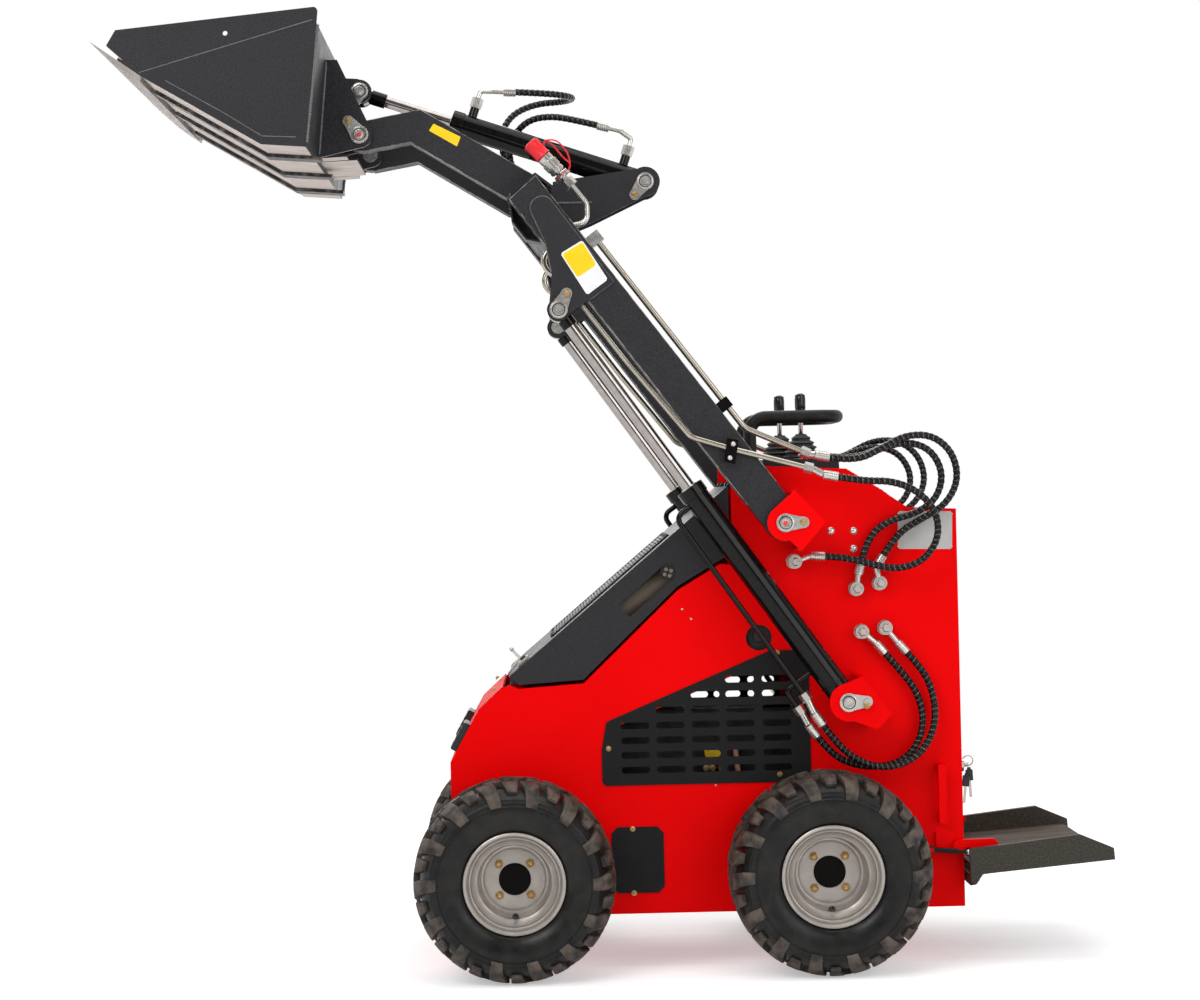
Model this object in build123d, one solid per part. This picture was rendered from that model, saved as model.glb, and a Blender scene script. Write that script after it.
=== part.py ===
from build123d import *
import math
import os

# Compact stand-on skid steer loader, in millimetres: X forward, Y to its left, Z up, ground at Z = 0.
# It is drawn about the middle of its wheelbase and written out about the middle of its length.

# ---- driving dimensions ----
tyreRadius = 228.5
tyreWidth = 210
halfWheelbase = 356
wheelY = 357                      # middle of each tyre, from the machine's centre line
bodyHalf = 240                    # outer face of the red side plates
sidePlate = 6
armY = 338                        # main arms and lift cylinders share this plane
armWidth = 60
frontArmY = 195                   # the cranked front arms run further in
frontArmWidth = 56
bucketHalf = 543
boomPivot = (-273, 1020)          # X, Z of each hinge pin
liftFoot = (-406, 612)
liftEye = (227, 1513)
bucketPivot = (676, 1936)
tiltFoot = (13, 1834)
tiltEye = (686, 2064)
platformPivot = (-665, 267)
stayFoot = (-598, 262)
stayBall = (-684, 255)
stayY = 274
bucketTip = (1245, 2115)
platformTail = (-1014, 233)
lengthMiddle = (bucketTip[0] + platformTail[0]) / 2
pinRadius = 20
fitGap = 0.05                     # radial clearance of a running fit
lockReach = 40                    # from a pin to the bolt of its lock plate


# ---- helpers ----
def sideFace(points):
    # a closed outline of X, Z points, drawn on the plane of symmetry
    return make_face(Plane.XZ * Polyline(*points, close=True))


def plate(points, yLow, yHigh):
    # a flat piece with the outline of X, Z points, between two distances from the centre line
    return extrude(Pos(0, yLow, 0) * sideFace(points), amount=yHigh - yLow, dir=(0, 1, 0))


def roundPlate(points, radii, yLow, yHigh):
    # the same with a radius for each corner
    line = FilletPolyline(*points, radius=radii, close=True)
    face = make_face(Plane.XZ * line)
    return extrude(Pos(0, yLow, 0) * face, amount=yHigh - yLow, dir=(0, 1, 0))


def crossRod(centre, radius, yLow, yHigh):
    # a round bar across the machine, at an X, Z place
    middle = Pos(centre[0], (yLow + yHigh) / 2, centre[1])
    return middle * Rot(90, 0, 0) * Cylinder(radius, yHigh - yLow)


def offsetLine(points, distance):
    # the same open line moved to its left by a distance, with mitred corners
    moved = []
    last = len(points) - 1
    for i, (x, z) in enumerate(points):
        before = points[max(i - 1, 0)]
        after = points[min(i + 1, last)]
        start = points[i] if i == 0 else before
        end = points[i] if i == last else after
        inX, inZ = (x - before[0], z - before[1]) if i > 0 else (after[0] - x, after[1] - z)
        outX, outZ = (after[0] - x, after[1] - z) if i < last else (inX, inZ)
        inLength = math.hypot(inX, inZ)
        outLength = math.hypot(outX, outZ)
        n1 = (-inZ / inLength, inX / inLength)
        n2 = (-outZ / outLength, outX / outLength)
        scale = distance / (1 + n1[0] * n2[0] + n1[1] * n2[1])
        moved.append((x + (n1[0] + n2[0]) * scale, z + (n1[1] + n2[1]) * scale))
    return moved


def bentPlate(points, thickness, yLow, yHigh):
    # a folded sheet along an open line, its metal to the left of the line
    return plate(points + offsetLine(points, thickness)[::-1], yLow, yHigh)


def bothSides(shape):
    return [shape, mirror(shape, about=Plane.XZ)]


def along(start, end, distance):
    length = math.hypot(end[0] - start[0], end[1] - start[1])
    ratio = distance / length
    return (start[0] + (end[0] - start[0]) * ratio, start[1] + (end[1] - start[1]) * ratio)


def slopeOf(start, end):
    return math.degrees(math.atan2(end[1] - start[1], end[0] - start[0]))


def alongRod(start, end, y, radius, fromStart, toStart):
    # a round bar lying on the line between two X, Z places, from one distance to another
    middle = along(start, end, (fromStart + toStart) / 2)
    turn = Pos(middle[0], y, middle[1]) * Rot(0, 90 - slopeOf(start, end), 0)
    return turn * Cylinder(radius, toStart - fromStart)


def eyePin(centre, direction, yLow, yHigh, radius, capY):
    # a hinge pin with its pear-shaped lock plate and the bolt that holds it
    side = 1 if capY > 0 else -1
    far = (centre[0] + lockReach * math.cos(math.radians(direction)),
           centre[1] + lockReach * math.sin(math.radians(direction)))
    low, high = sorted((capY, capY + side * 5))
    keeper = crossRod(centre, 21, low, high) + crossRod(far, 13, low, high)
    normal = direction + 90
    nx, nz = math.cos(math.radians(normal)), math.sin(math.radians(normal))
    web = [(centre[0] + nx * 20, centre[1] + nz * 20), (far[0] + nx * 12.5, far[1] + nz * 12.5),
           (far[0] - nx * 12.5, far[1] - nz * 12.5), (centre[0] - nx * 20, centre[1] - nz * 20)]
    keeper += plate(web, low, high)
    boltLow, boltHigh = sorted((capY + side * 5, capY + side * 10))
    keeper += crossRod(far, 7, boltLow, boltHigh)
    return keeper + crossRod(centre, radius, yLow, yHigh)


def save(name, *solids):
    moved = [Pos(-lengthMiddle, 0, 0) * solid for solid in solids]
    pieces = []
    for shape in moved:
        pieces += shape.solids()
    export_step(Compound(children=pieces), f"parts/{name}.step")


# ---- chassis ----
noseTop = (431, 606)
noseFoot = (500, 484)
bodyFront = 500
bodyRear = -678
bodyFloor = 126
hoodHinge = (-160, 1108)
consoleTop = 1168
hoodSkirt = [(338, 650), (189, 659), (-33, 869), (-132, 927), (-160, 925)]
topEdge = [(-160, 1150), (-242, 1150), (-427, 1140), (-494, 1098), (-567, 1047), (-678, 1042)]
grilleOutline = [(-330, 422), (151, 422), (151, 505), (139, 569), (-241, 725), (-330, 725)]


def grilleWindow():
    return [(-300, 440), (130, 440), (130, 500), (120, 556), (-236, 702), (-300, 702)]


def sidePlates():
    outline = [(bodyFront, bodyFloor), noseFoot, noseTop, (363, 660)]
    outline += hoodSkirt + topEdge + [(bodyRear, bodyFloor)]
    panel = plate(outline, bodyHalf - sidePlate, bodyHalf)
    panel -= plate(grilleWindow(), bodyHalf - 10, bodyHalf + 10)
    panel -= crossRod((-217, 755), 30, bodyHalf - 10, bodyHalf + 10)
    for x in (-halfWheelbase, halfWheelbase):
        panel -= crossRod((x, tyreRadius), 62, bodyHalf - 10, bodyHalf + 10)
    for centre in (boomPivot, liftFoot):
        panel += crossRod(centre, 34, bodyHalf - 1, 300)
        panel -= crossRod(centre, pinRadius, bodyHalf, 301)
    return bothSides(panel)


def bodyPanels():
    inner = bodyHalf - sidePlate
    front = bentPlate([(500, 132), noseFoot, noseTop, (376, 656)], 5, -inner, inner)
    belly = plate([(500, 126), (500, 132), (-672, 132), (-672, 126)], -inner, inner)
    rear = plate([(-678, 126), (-672, 126), (-672, 1042), (-678, 1042)], -inner, inner)
    return front, belly, rear


def topDeck():
    inner = bodyHalf - sidePlate
    line = [(-671, 1010), (-567, 1016), (-500, 1062), (-430, 1108), (-172, 1112)]
    deck = bentPlate(line, 4, -inner, inner)
    leaf = [(-173, 1112), (-161, 1101), (-155, 1108), (-161, 1115), (-172, 1116)]
    console = bentPlate([(-246, 1113), (-250, consoleTop - 4), (-420, consoleTop - 8), (-426, 1110)], 4, -112, 112)
    side = [(-246, 1113), (-246, consoleTop), (-424, consoleTop - 4), (-426, 1110)]
    deck += console + plate(side, 108, 112) + plate(side, -112, -108)
    for y in (-185, 85):
        deck += plate(leaf, y, y + 33) + plate(leaf, y + 67, y + 100)
        deck += crossRod(hoodHinge, 4, y + 30, y + 70)
    return deck


def sideGrilles():
    radii = [20, 12, 12, 12, 14, 20]
    panel = roundPlate(grilleOutline, radii, bodyHalf, bodyHalf + 3)
    columns = (73, -8.5, -90, -170, -254)
    rows = ((661, 3), (627, 2), (593, 1), (559, 0), (525, 0), (491, 0), (457, 0))   # height, first column
    for height, first in rows:
        for x in columns[first:]:
            slot = Pos(x, 0, height) * (Plane.XZ * SlotOverall(66, 15.4))
            panel -= extrude(Pos(0, bodyHalf - 5, 0) * slot, amount=15, dir=(0, 1, 0))
    return bothSides(panel)


def accessCovers():
    outline = [(27, 174), (119, 174), (133, 188), (133, 312), (119, 326), (27, 326), (13, 312), (13, 188)]
    return bothSides(plate(outline, bodyHalf, bodyHalf + 3))


def pivotBrackets():
    outer = 378
    thick = 8
    boomRear = [(-295, 1093), (-364, 1020), (-307, 955)]
    liftRear = [(-438, 671), (-503, 585), (-470, 550)]
    pieces = []
    for centre, rear, cheek in ((boomPivot, boomRear, 41), (liftFoot, liftRear, 43)):
        face = plate([centre] + rear, outer, outer + thick) + crossRod(centre, cheek, outer, outer + thick)
        nose = [(centre[0] + cheek * 0.62, centre[1] + cheek * 0.78), rear[0], rear[2],
                (centre[0] - cheek * 0.2, centre[1] - cheek * 0.98)]
        face += plate(nose, outer, outer + thick)
        flange = bentPlate(rear, thick, bodyHalf, outer + thick)
        body = face + flange
        body -= crossRod(centre, pinRadius, outer - 5, outer + thick + 5)
        pieces += bothSides(body)
    return pieces


def chassisPins():
    pieces = []
    for centre, direction in ((boomPivot, 180), (liftFoot, 178)):
        pieces += bothSides(eyePin(centre, direction, bodyHalf, 386, pinRadius, 386))
    return pieces


def engineBlock():
    return Pos(-30, 0, 355) * Box(400, 320, 430)


def wheelMotors():
    pieces = []
    for x in (-halfWheelbase, halfWheelbase):
        housing = crossRod((x, tyreRadius), 60, 190, 300)
        housing += crossRod((x, tyreRadius), 20, 300, 350)
        pieces += bothSides(housing)
    return pieces


def headlamps():
    # two work lamps standing on the sloping nose, each with a recessed lens
    uphill = ((noseTop[0] - noseFoot[0]) / 140.2, (noseTop[1] - noseFoot[1]) / 140.2)
    out = (uphill[1], -uphill[0])

    def onNose(up, off):
        return (noseFoot[0] + uphill[0] * up + out[0] * off, noseFoot[1] + uphill[1] * up + out[1] * off)

    body = plate([onNose(27, 0.2), onNose(27, 13), onNose(30, 16), onNose(94, 16), onNose(97, 13), onNose(97, 0.2)],
                 140, 228)
    lens = plate([onNose(34, 13), onNose(34, 17), onNose(90, 17), onNose(90, 13)], 147, 221)
    return bothSides(body - lens)


def handlebar():
    front, rear, low, high, half = -215, -425, 1120, 1265, 130
    route = [(front, half, low), (front, half, high), (rear, half, high),
             (rear, -half, high), (front, -half, high), (front, -half, low)]
    path = FilletPolyline(*route, radius=[38, 60, 60, 38])
    ring = Plane(origin=route[0], z_dir=(0, 0, 1)) * Circle(15)
    return sweep(ring, path=path)


def controlLevers():
    pieces = []
    for x, y in ((-341, 60), (-300, -50)):
        boot = Pos(x, y, consoleTop + 3) * Cylinder(36, 6) + Pos(x, y, consoleTop + 30) * Cone(33, 11, 50)
        stick = Pos(x, y, 1245) * Cylinder(5, 90)
        knob = Pos(x, y, 1300) * Cylinder(12, 36)
        pieces.append(boot + stick + knob)
    return pieces


def keySwitch():
    body = Pos(-688, 120, 440) * Rot(0, 90, 0) * Cylinder(16, 20)
    stem = Pos(-704, 120, 440) * Rot(0, 90, 0) * Cylinder(5, 12)
    return body + stem


def tieDowns():
    bar = plate([(-636, 322), (-618, 322), (-618, 456), (-636, 456)], bodyHalf, bodyHalf + 40)
    bar -= plate([(-640, 345), (-610, 345), (-610, 433), (-640, 433)], bodyHalf - 1, bodyHalf + 22)
    return bothSides(bar)


def platformLugs():
    lug = plate([(-613, 252), (-665, 252), (-665, 282), (-613, 299)], bodyHalf, bodyHalf + 12)
    lug += crossRod(platformPivot, 15, bodyHalf, bodyHalf + 12)
    lug -= crossRod(platformPivot, 8, bodyHalf - 1, bodyHalf + 13)
    stud = crossRod(stayFoot, 5, bodyHalf, stayY + 8)
    return bothSides(lug) + bothSides(stud)


# ---- wheels ----
lugCount = 14                     # in each of the two rows, set half a step apart
lugWide = 30
lugSkew = 16
treadSectors = 28
beadRadius = 104


def facetRing(profile, sectors):
    # a closed profile of radius, Y points carried round the Y axis in flat sectors
    step = 2 * math.pi / sectors
    faces = []
    for i in range(sectors):
        here, there = (i - 0.5) * step, (i + 0.5) * step
        for (r1, y1), (r2, y2) in zip(profile, profile[1:] + profile[:1]):
            quad = [(r1 * math.cos(here), y1, r1 * math.sin(here)), (r2 * math.cos(here), y2, r2 * math.sin(here)),
                    (r2 * math.cos(there), y2, r2 * math.sin(there)),
                    (r1 * math.cos(there), y1, r1 * math.sin(there))]
            faces.append(make_face(Polyline(*quad, close=True)))
    return Solid(Shell(faces))


def tyre():
    # a faceted carcass with skewed lugs, whose corners reach the tyre's full radius
    half = tyreWidth / 2
    top = tyreRadius - 2.2
    outside = [(117, 85.9), (136, half - 1.5), (180, half - 0.5), (tyreRadius - 13, half - 47)]
    profile = outside + [(r, -y) for r, y in outside[::-1]]
    profile += [(beadRadius + 0.5, -80), (198, 0), (beadRadius + 0.5, 80)]
    body = facetRing(profile, treadSectors)
    section = [(196, 6), (top, 6), (top, 76), (210, half - 5), (190, half - 1)]
    block = make_face(Plane.XY * Polyline(*section, close=True))
    lug = Rot(-lugSkew, 0, 0) * extrude(Pos(0, 0, -lugWide / 2) * block, amount=lugWide, dir=(0, 0, 1))
    other = mirror(lug, about=Plane.XZ)
    step = 360 / lugCount
    lugs = []
    for i in range(lugCount):
        lugs.append(Rot(0, 90 + i * step, 0) * lug)
        lugs.append(Rot(0, 90 + (i + 0.5) * step, 0) * other)
    return body.fuse(*lugs)


def rim():
    # outboard is +Y: flanges, well, and a dished disc with its hub
    line = [(115, -92), (115, -86), (beadRadius, -86), (beadRadius, -62), (86, -50), (86, 50), (beadRadius, 62),
            (beadRadius, 86), (115, 86), (115, 92), (110, 92), (100, 83), (100, 62), (82, 48), (82, 7),
            (76, 0), (20.05, 0), (20.05, -44), (50, -44), (50, -6), (78, -4), (82, -7), (82, -48),
            (100, -62), (100, -83), (110, -92)]
    return revolve(make_face(Plane.XY * Polyline(*line, close=True)), Axis.Y, 360)


def wheels():
    rubber = tyre()
    metal = rim()
    for end, x in (("front", halfWheelbase), ("rear", -halfWheelbase)):
        place = Pos(x, wheelY, tyreRadius)
        for side, turn in (("left", 1), ("right", -1)):
            tyreSolid = place * rubber
            rimSolid = place * metal
            if turn < 0:
                tyreSolid = mirror(tyreSolid, about=Plane.XZ)
                rimSolid = mirror(rimSolid, about=Plane.XZ)
            save(f"tyre_{end}_{side}", tyreSolid)
            save(f"rim_{end}_{side}", rimSolid)


# ---- boom ----
armTop = [(-305, 1047), (272, 1817), (332, 1765), (-241, 993)]


def mainArms():
    low, high = armY - armWidth / 2, armY + armWidth / 2
    arm = plate(armTop, low, high) + crossRod(boomPivot, 42, low, high)
    hollow = plate([(-215, 1158), (262, 1795), (310, 1753), (-170, 1112)], low + 5, high - 5)
    arm -= hollow
    arm -= crossRod(boomPivot, pinRadius + fitGap, low - 1, high + 1)
    gusset = [(188, 1690), (262, 1788), (312, 1745), (236, 1640), (240, 1598), (248, 1524), (210, 1498),
              (160, 1533), (120, 1590)]
    inner = plate(gusset, low - 6, low) + crossRod(liftEye, 26, low - 6, low)
    arm += inner - crossRod(liftEye, 16, low - 7, low + 1)
    overlay = [(238, 1758.5), (280, 1727.5), (252, 1664), (240, 1598), (248, 1524), (210, 1498), (158, 1533),
               (101, 1573)]
    outer = plate(overlay, high, high + 6) + crossRod((259, 1743), 26, high, high + 6)
    outer += crossRod(liftEye, 26, high, high + 6)
    arm += outer - crossRod(liftEye, 16, high - 1, high + 7)
    return bothSides(arm)


def frontArms():
    low, high = frontArmY - frontArmWidth / 2, frontArmY + frontArmWidth / 2
    outline = [(669, 1899), (560, 1918), (339, 1782), (273, 1832), (535, 1992), (661, 1969)]
    arm = plate(outline, low, high) + crossRod(bucketPivot, 36, low, high)
    arm -= plate([(562, 1924), (345, 1790), (289, 1832), (537, 1985), (620, 1970), (620, 1914)],
                 low + 5, high - 5)
    arm -= crossRod(bucketPivot, 18 + fitGap, low - 1, high + 1)
    return bothSides(arm)


crossMemberOutline = [(273, 1832), (332, 1786), (329, 1767), (274, 1694), (252, 1675), (225, 1700), (232, 1800)]
hoseGuardLine = [(333, 1784), (336, 1772), (329, 1720), (298, 1679), (255, 1670), (246, 1678)]


def crossMember():
    half = armY - armWidth / 2 - 6
    tube = plate(crossMemberOutline, -half, half)
    tube -= plate([(272, 1824), (325, 1782), (322, 1769), (269, 1699), (253, 1685), (231, 1703), (238, 1797)],
                  -half - 1, half + 1)
    return tube + hoseGuard(half) + tiltBracket()


def hoseGuard(outer):
    # a bent strip below the left end of the cross member, closed on its inner side
    strip = bentPlate(hoseGuardLine[::-1], 4, outer - 70, outer)
    web = plate(hoseGuardLine + [(240, 1700), (240, 1790), (273, 1826)], outer - 74, outer - 70)
    return strip + web


def tiltBracket():
    # two cheeks welded to the cross member, with a shelf between them
    outline = [(236, 1800), (230, 1704), (141, 1739), (4, 1803), (20, 1866), (232, 1838)]
    side = plate(outline, 39, 45) + crossRod(tiltFoot, 35, 39, 45)
    side -= crossRod(tiltFoot, pinRadius, 38, 46)
    shelf = plate([(60, 1781), (234, 1781), (234, 1787), (60, 1787)], -40, 40)
    return side + mirror(side, about=Plane.XZ) + shelf


def boomPins():
    pieces = bothSides(crossRod(liftEye, 16, 360, 374) + eyePin(liftEye, 118, 360, 374, 16, 374))
    pieces += bothSides(crossRod(liftEye, 16, 300, 316))
    pieces.append(eyePin(tiltFoot, -51, -50, 45, pinRadius, 45))
    return pieces


# ---- cylinders ----
liftBarrelEnd = 600
liftLength = math.hypot(liftEye[0] - liftFoot[0], liftEye[1] - liftFoot[1])
tiltBarrelEnd = 482
tiltLength = math.hypot(tiltEye[0] - tiltFoot[0], tiltEye[1] - tiltFoot[1])


def barrel(start, end, y, outer, bore, rod, length, eyeHalf, pin):
    body = alongRod(start, end, y, outer, 18, length)
    body -= alongRod(start, end, y, bore, 70, length - 40)
    body -= alongRod(start, end, y, rod + fitGap, length - 41, length + 1)
    foot = crossRod(start, outer, y - eyeHalf, y + eyeHalf)
    body += foot
    return body - crossRod(start, pin + fitGap, y - outer - 1, y + outer + 1)


def rodAndEye(start, end, y, bore, rod, pistonAt, eyeRadius, eyeHalf):
    length = math.hypot(end[0] - start[0], end[1] - start[1])
    shaft = alongRod(start, end, y, rod, pistonAt, length - eyeRadius + 4)
    piston = alongRod(start, end, y, bore - fitGap, pistonAt - 15, pistonAt + 15)
    return shaft + piston + crossRod(end, eyeRadius, y - eyeHalf, y + eyeHalf)


def liftCylinders():
    outer = barrel(liftFoot, liftEye, armY, 30, 24, 15, liftBarrelEnd, 22, pinRadius) + liftLines()
    rod = rodAndEye(liftFoot, liftEye, armY, 24, 15, 535, 26, 20)
    return bothSides(outer), bothSides(rod)


def tiltCylinder():
    outer = barrel(tiltFoot, tiltEye, 0, 29, 23, 14, tiltBarrelEnd, 28, pinRadius) + tiltStubs()
    rod = rodAndEye(tiltFoot, tiltEye, 0, 23, 14, 260, 28, 22)
    return outer, rod


# ---- bucket ----
bucketHole = (946, 2126)
bucketSkin = [(744.9, 2146), (775, 1872), (873, 1880), (1131, 2034), (1185, 2073)]


def bucketShell():
    skin = bentPlate(bucketSkin, 6, -bucketHalf, bucketHalf)
    cheekOutline = [(741, 2180), (775, 1872), (873, 1880), (1131, 2034), (1208, 2104), (1187, 2138)]
    cheek = roundPlate(cheekOutline, [9, 0.5, 0.5, 0.5, 3, 3], bucketHalf - 8, bucketHalf)
    cheek -= crossRod(bucketHole, 5.5, bucketHalf - 10, bucketHalf + 2)
    shell = skin + cheek + mirror(cheek, about=Plane.XZ)
    return shell


def cuttingEdge():
    edge = plate([(1245, 2115), (1131, 2034), (1135, 2024), (1190, 2064)], -bucketHalf, bucketHalf)
    return edge


def wearStrips():
    pieces = []
    for y in (-353, 0, 353):
        pieces.append(bentPlate([(756, 1861.9), (876, 1871.7), (1126, 2021.2)], 8, y - 30, y + 30))
    return pieces


def backX(z):
    # the outside of the bucket's back plate at a height
    (topX, topZ), (lowX, lowZ) = bucketSkin[0], bucketSkin[1]
    return topX + (lowX - topX) * (topZ - z) / (topZ - lowZ)


def bucketEars():
    pieces = []
    outline = [(backX(2110), 2110), (724, 2110), (650, 1950), (664, 1908), (backX(1884), 1884)]
    for low, high in ((155, 163), (227, 235)):
        ear = plate(outline, low, high) + crossRod(bucketPivot, 30, low, high)
        ear -= crossRod(bucketPivot, 18 + fitGap, low - 1, high + 1)
        pieces += bothSides(ear)
    lever = [(backX(2098), 2098), (backX(2008), 2008), (715, 2030), (658, 2058), (664, 2082), (690, 2094)]
    cheek = plate(lever, 32, 40) + crossRod(tiltEye, 28, 32, 40)
    cheek -= crossRod(tiltEye, 18 + fitGap, 31, 41)
    pieces += bothSides(cheek)
    pieces.append(heelPlate(688, -154.9, 154.9))
    pieces += bothSides(heelPlate(707, 163.1, 226.9))
    return pieces


def heelPlate(rear, low, high):
    # the floor of the hitch between the ears
    return plate([(backX(1890), 1890), (rear, 1893), (rear, 1887), (backX(1884), 1884)], low, high)


def bucketPins():
    pieces = bothSides(eyePin(bucketPivot, 52, 155, 235, 18, 235))
    pieces.append(eyePin(tiltEye, -60, 27, 40, 18, 40))
    pieces.append(crossRod(tiltEye, 18, -40, -27))
    return pieces


# ---- platform ----
def platformFloor():
    deck = plate([(-690, 226), (-1000, 248), (-1000, 242), (-690, 220)], -282, 282)
    return deck


def platformSides():
    outline = [(-683, 264), (-935, 292), (-1012, 259), (-1014, 233), (-729, 208), (-712, 206), (-698, 187),
               (-685, 187)]
    side = plate(outline, 282, 300)
    side += crossRod(stayBall, 3.5, stayY - 4, 282)
    return bothSides(side)


def platformArms():
    arm = plate([(-665, 255), (-745, 250), (-757, 268), (-745, 283), (-665, 282)], 254, 266)
    arm += crossRod(platformPivot, 15, 254, 266)
    pin = crossRod(platformPivot, 8 - fitGap, 241, 254)
    return bothSides(arm + pin)


def platformStays():
    span = math.hypot(stayBall[0] - stayFoot[0], stayBall[1] - stayFoot[1])
    stay = alongRod(stayFoot, stayBall, stayY, 4, 6, span - 7) + alongRod(stayFoot, stayBall, stayY, 6, 12, 62)
    stay += crossRod(stayBall, 10, stayY - 5, stayY + 5) + crossRod(stayFoot, 9, stayY - 5, stayY + 5)
    stay -= crossRod(stayBall, 8, stayY - 6, stayY + 6)
    stay -= crossRod(stayFoot, 5 + fitGap, stayY - 6, stayY + 6)
    return bothSides(stay)


# ---- hood ----
ventRows = 13
ventPitch = 25


def hoodLid():
    top = [(-154, 1103), (359, 676)]
    lid = bentPlate(top, 3, -bodyHalf, bodyHalf)
    skirt = [top[1], top[0], (-154, 948), (-132, 936), (-33, 878), (189, 668), (338, 659)]
    lid += plate(skirt, bodyHalf - 3, bodyHalf) + plate(skirt, -bodyHalf, 3 - bodyHalf)
    slope = slopeOf(top[0], top[1])
    window = Plane.XZ * (Pos(39, 868) * Rot(0, 0, slope) * RectangleRounded(137, 38, 5))
    lid -= extrude(Pos(0, -bodyHalf - 5, 0) * window, amount=2 * bodyHalf + 10, dir=(0, 1, 0))
    for i in range(ventRows):
        middle = along(top[1], top[0], 150 + i * ventPitch)
        for y in (-82, 82):
            lid -= Pos(middle[0], y, middle[1]) * Rot(0, -slope, 0) * Box(11, 140, 30)
    for y in (-150, 120):
        lid += crossRod(hoodHinge, 8, y, y + 30)
        lid -= crossRod(hoodHinge, 4 + fitGap, y - 1, y + 31)
    return lid


# ---- hydraulic lines ----
hoseRadius = 8
pipeRadius = 6.5
ferruleRadius = 10.5

# each route is a list of X, Y, Z points on the left side; a second side mirrors it
boomHoseUpper = [(-377, 348, 1166), (-436, 346, 1155), (-500, 334, 1184), (-556, 322, 1213), (-620, 307, 1211),
                 (-667, 292, 1170), (-680, 280, 1107), (-650, 271, 1051), (-594, 265, 1020), (-538, 262, 988),
                 (-505, 260, 937)]
boomHoseInner = [(-377, 328, 1168), (-437, 325, 1160), (-500, 314, 1184), (-562, 303, 1199), (-618, 291, 1178),
                 (-646, 279, 1122), (-629, 271, 1064), (-580, 265, 1032), (-518, 261, 1018), (-470, 260, 980),
                 (-455, 260, 925)]
boomHoseLower = [(-392, 378, 1121), (-450, 374, 1110), (-518, 367, 1109), (-580, 355, 1083), (-621, 340, 1033),
                 (-625, 323, 973), (-590, 307, 923), (-530, 296, 906), (-470, 288, 921), (-420, 283, 936),
                 (-368, 280, 940)]
liftHoseOuter = [(-349, 346, 561), (-384, 342, 511), (-430, 330, 474), (-488, 315, 455), (-550, 301, 466),
                 (-598, 286, 508), (-617, 275, 570), (-608, 267, 635), (-585, 263, 680), (-553, 262, 716)]
liftHoseInner = [(-337, 328, 534), (-372, 318, 488), (-424, 306, 463), (-484, 293, 455), (-542, 281, 470),
                 (-580, 272, 514), (-589, 266, 572), (-574, 263, 626), (-540, 262, 672), (-503, 262, 715)]
tiltHoseFront = [(317, 0, 2059), (262, -2, 2056), (206, -20, 2053), (173, -82, 2053), (202, -148, 2054),
                 (268, -170, 2054), (328, -146, 2026), (356, -116, 1974), (350, -102, 1912), (318, -100, 1858)]
tiltHoseRear = [(121, 0, 1975), (176, -4, 1990), (232, -14, 2002), (288, -34, 1997), (328, -54, 1958),
                (338, -62, 1904), (318, -62, 1858)]


def roundedPath(points, radii):
    return FilletPolyline(*points, radius=radii)


def tube(points, radius, radii):
    path = roundedPath(points, radii)
    start = Vector(*points[0])
    direction = Vector(*points[1]) - start
    section = Plane(origin=start, z_dir=direction) * Circle(radius)
    return sweep(section, path=path), path.length


def hose(name, points):
    # straight runs joined by tangent arcs, each arc as large as its two runs allow
    vectors = [Vector(*p) for p in points]
    runs = [(b - a) for a, b in zip(vectors, vectors[1:])]
    radii = []
    for before, after in zip(runs, runs[1:]):
        turn = math.radians(before.get_angle(after))
        radii.append(0.45 * min(before.length, after.length) / math.tan(turn / 2))
    solid, length = tube(points, hoseRadius, radii)
    section = math.pi * hoseRadius ** 2 * length
    print(name, "length", round(length), "volume ratio", round(solid.volume / section, 4),
          "radii", [round(r) for r in radii])
    return solid


def pipe(points, bend):
    solid, _ = tube(points, pipeRadius, [bend] * (len(points) - 2))
    return solid


def rodBetween(start, end, radius):
    # a round bar between two X, Y, Z points
    a, b = Vector(*start), Vector(*end)
    return Plane(origin=a, z_dir=b - a) * Pos(0, 0, (b - a).length / 2) * Cylinder(radius, (b - a).length)


def hexBetween(start, end, acrossFlats):
    a, b = Vector(*start), Vector(*end)
    face = Plane(origin=a, z_dir=b - a) * RegularPolygon(acrossFlats / 2, 6, major_radius=False)
    return extrude(face, amount=(b - a).length)


def pointAlong(start, end, distance):
    a, b = Vector(*start), Vector(*end)
    place = a + (b - a).normalized() * distance
    return (place.X, place.Y, place.Z)


def hoseEnd(near, second, pipeEnd, pipeBefore):
    # the crimped ferrule in line with a hose's first run, and a union nut in line with the pipe it meets
    crimp = pointAlong(near, second, -32)
    nut = pointAlong(pipeEnd, pipeBefore, -20)
    return rodBetween(near, crimp, ferruleRadius) + rodBetween(crimp, nut, 8) + hexBetween(nut, pipeEnd, 22)


def banjo(centre, y, hosePoints):
    # a banjo on the side plate, its stem and the ferrule of the hose that leaves it
    near = hosePoints[-1]
    head = crossRod(centre, 15.5, y - 8, y + 8) + crossRod(centre, 9, bodyHalf, y)
    head += crossRod(centre, 10, y + 8, y + 14)
    base = (centre[0], y, centre[1])
    crimp = pointAlong(near, hosePoints[-2], -30)
    return head + rodBetween(base, crimp, 7) + rodBetween(crimp, near, ferruleRadius)


def bodyHoses():
    table = (("boom_hose_upper", boomHoseUpper), ("boom_hose_inner", boomHoseInner),
             ("boom_hose_lower", boomHoseLower), ("lift_hose_outer", liftHoseOuter),
             ("lift_hose_inner", liftHoseInner))
    for name, points in table:
        solid = hose(name, points)
        save(f"{name}_left", solid)
        save(f"{name}_right", mirror(solid, about=Plane.XZ))
    save("tilt_hose_front", hose("tilt_hose_front", tiltHoseFront))
    save("tilt_hose_rear", hose("tilt_hose_rear", tiltHoseRear))


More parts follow.
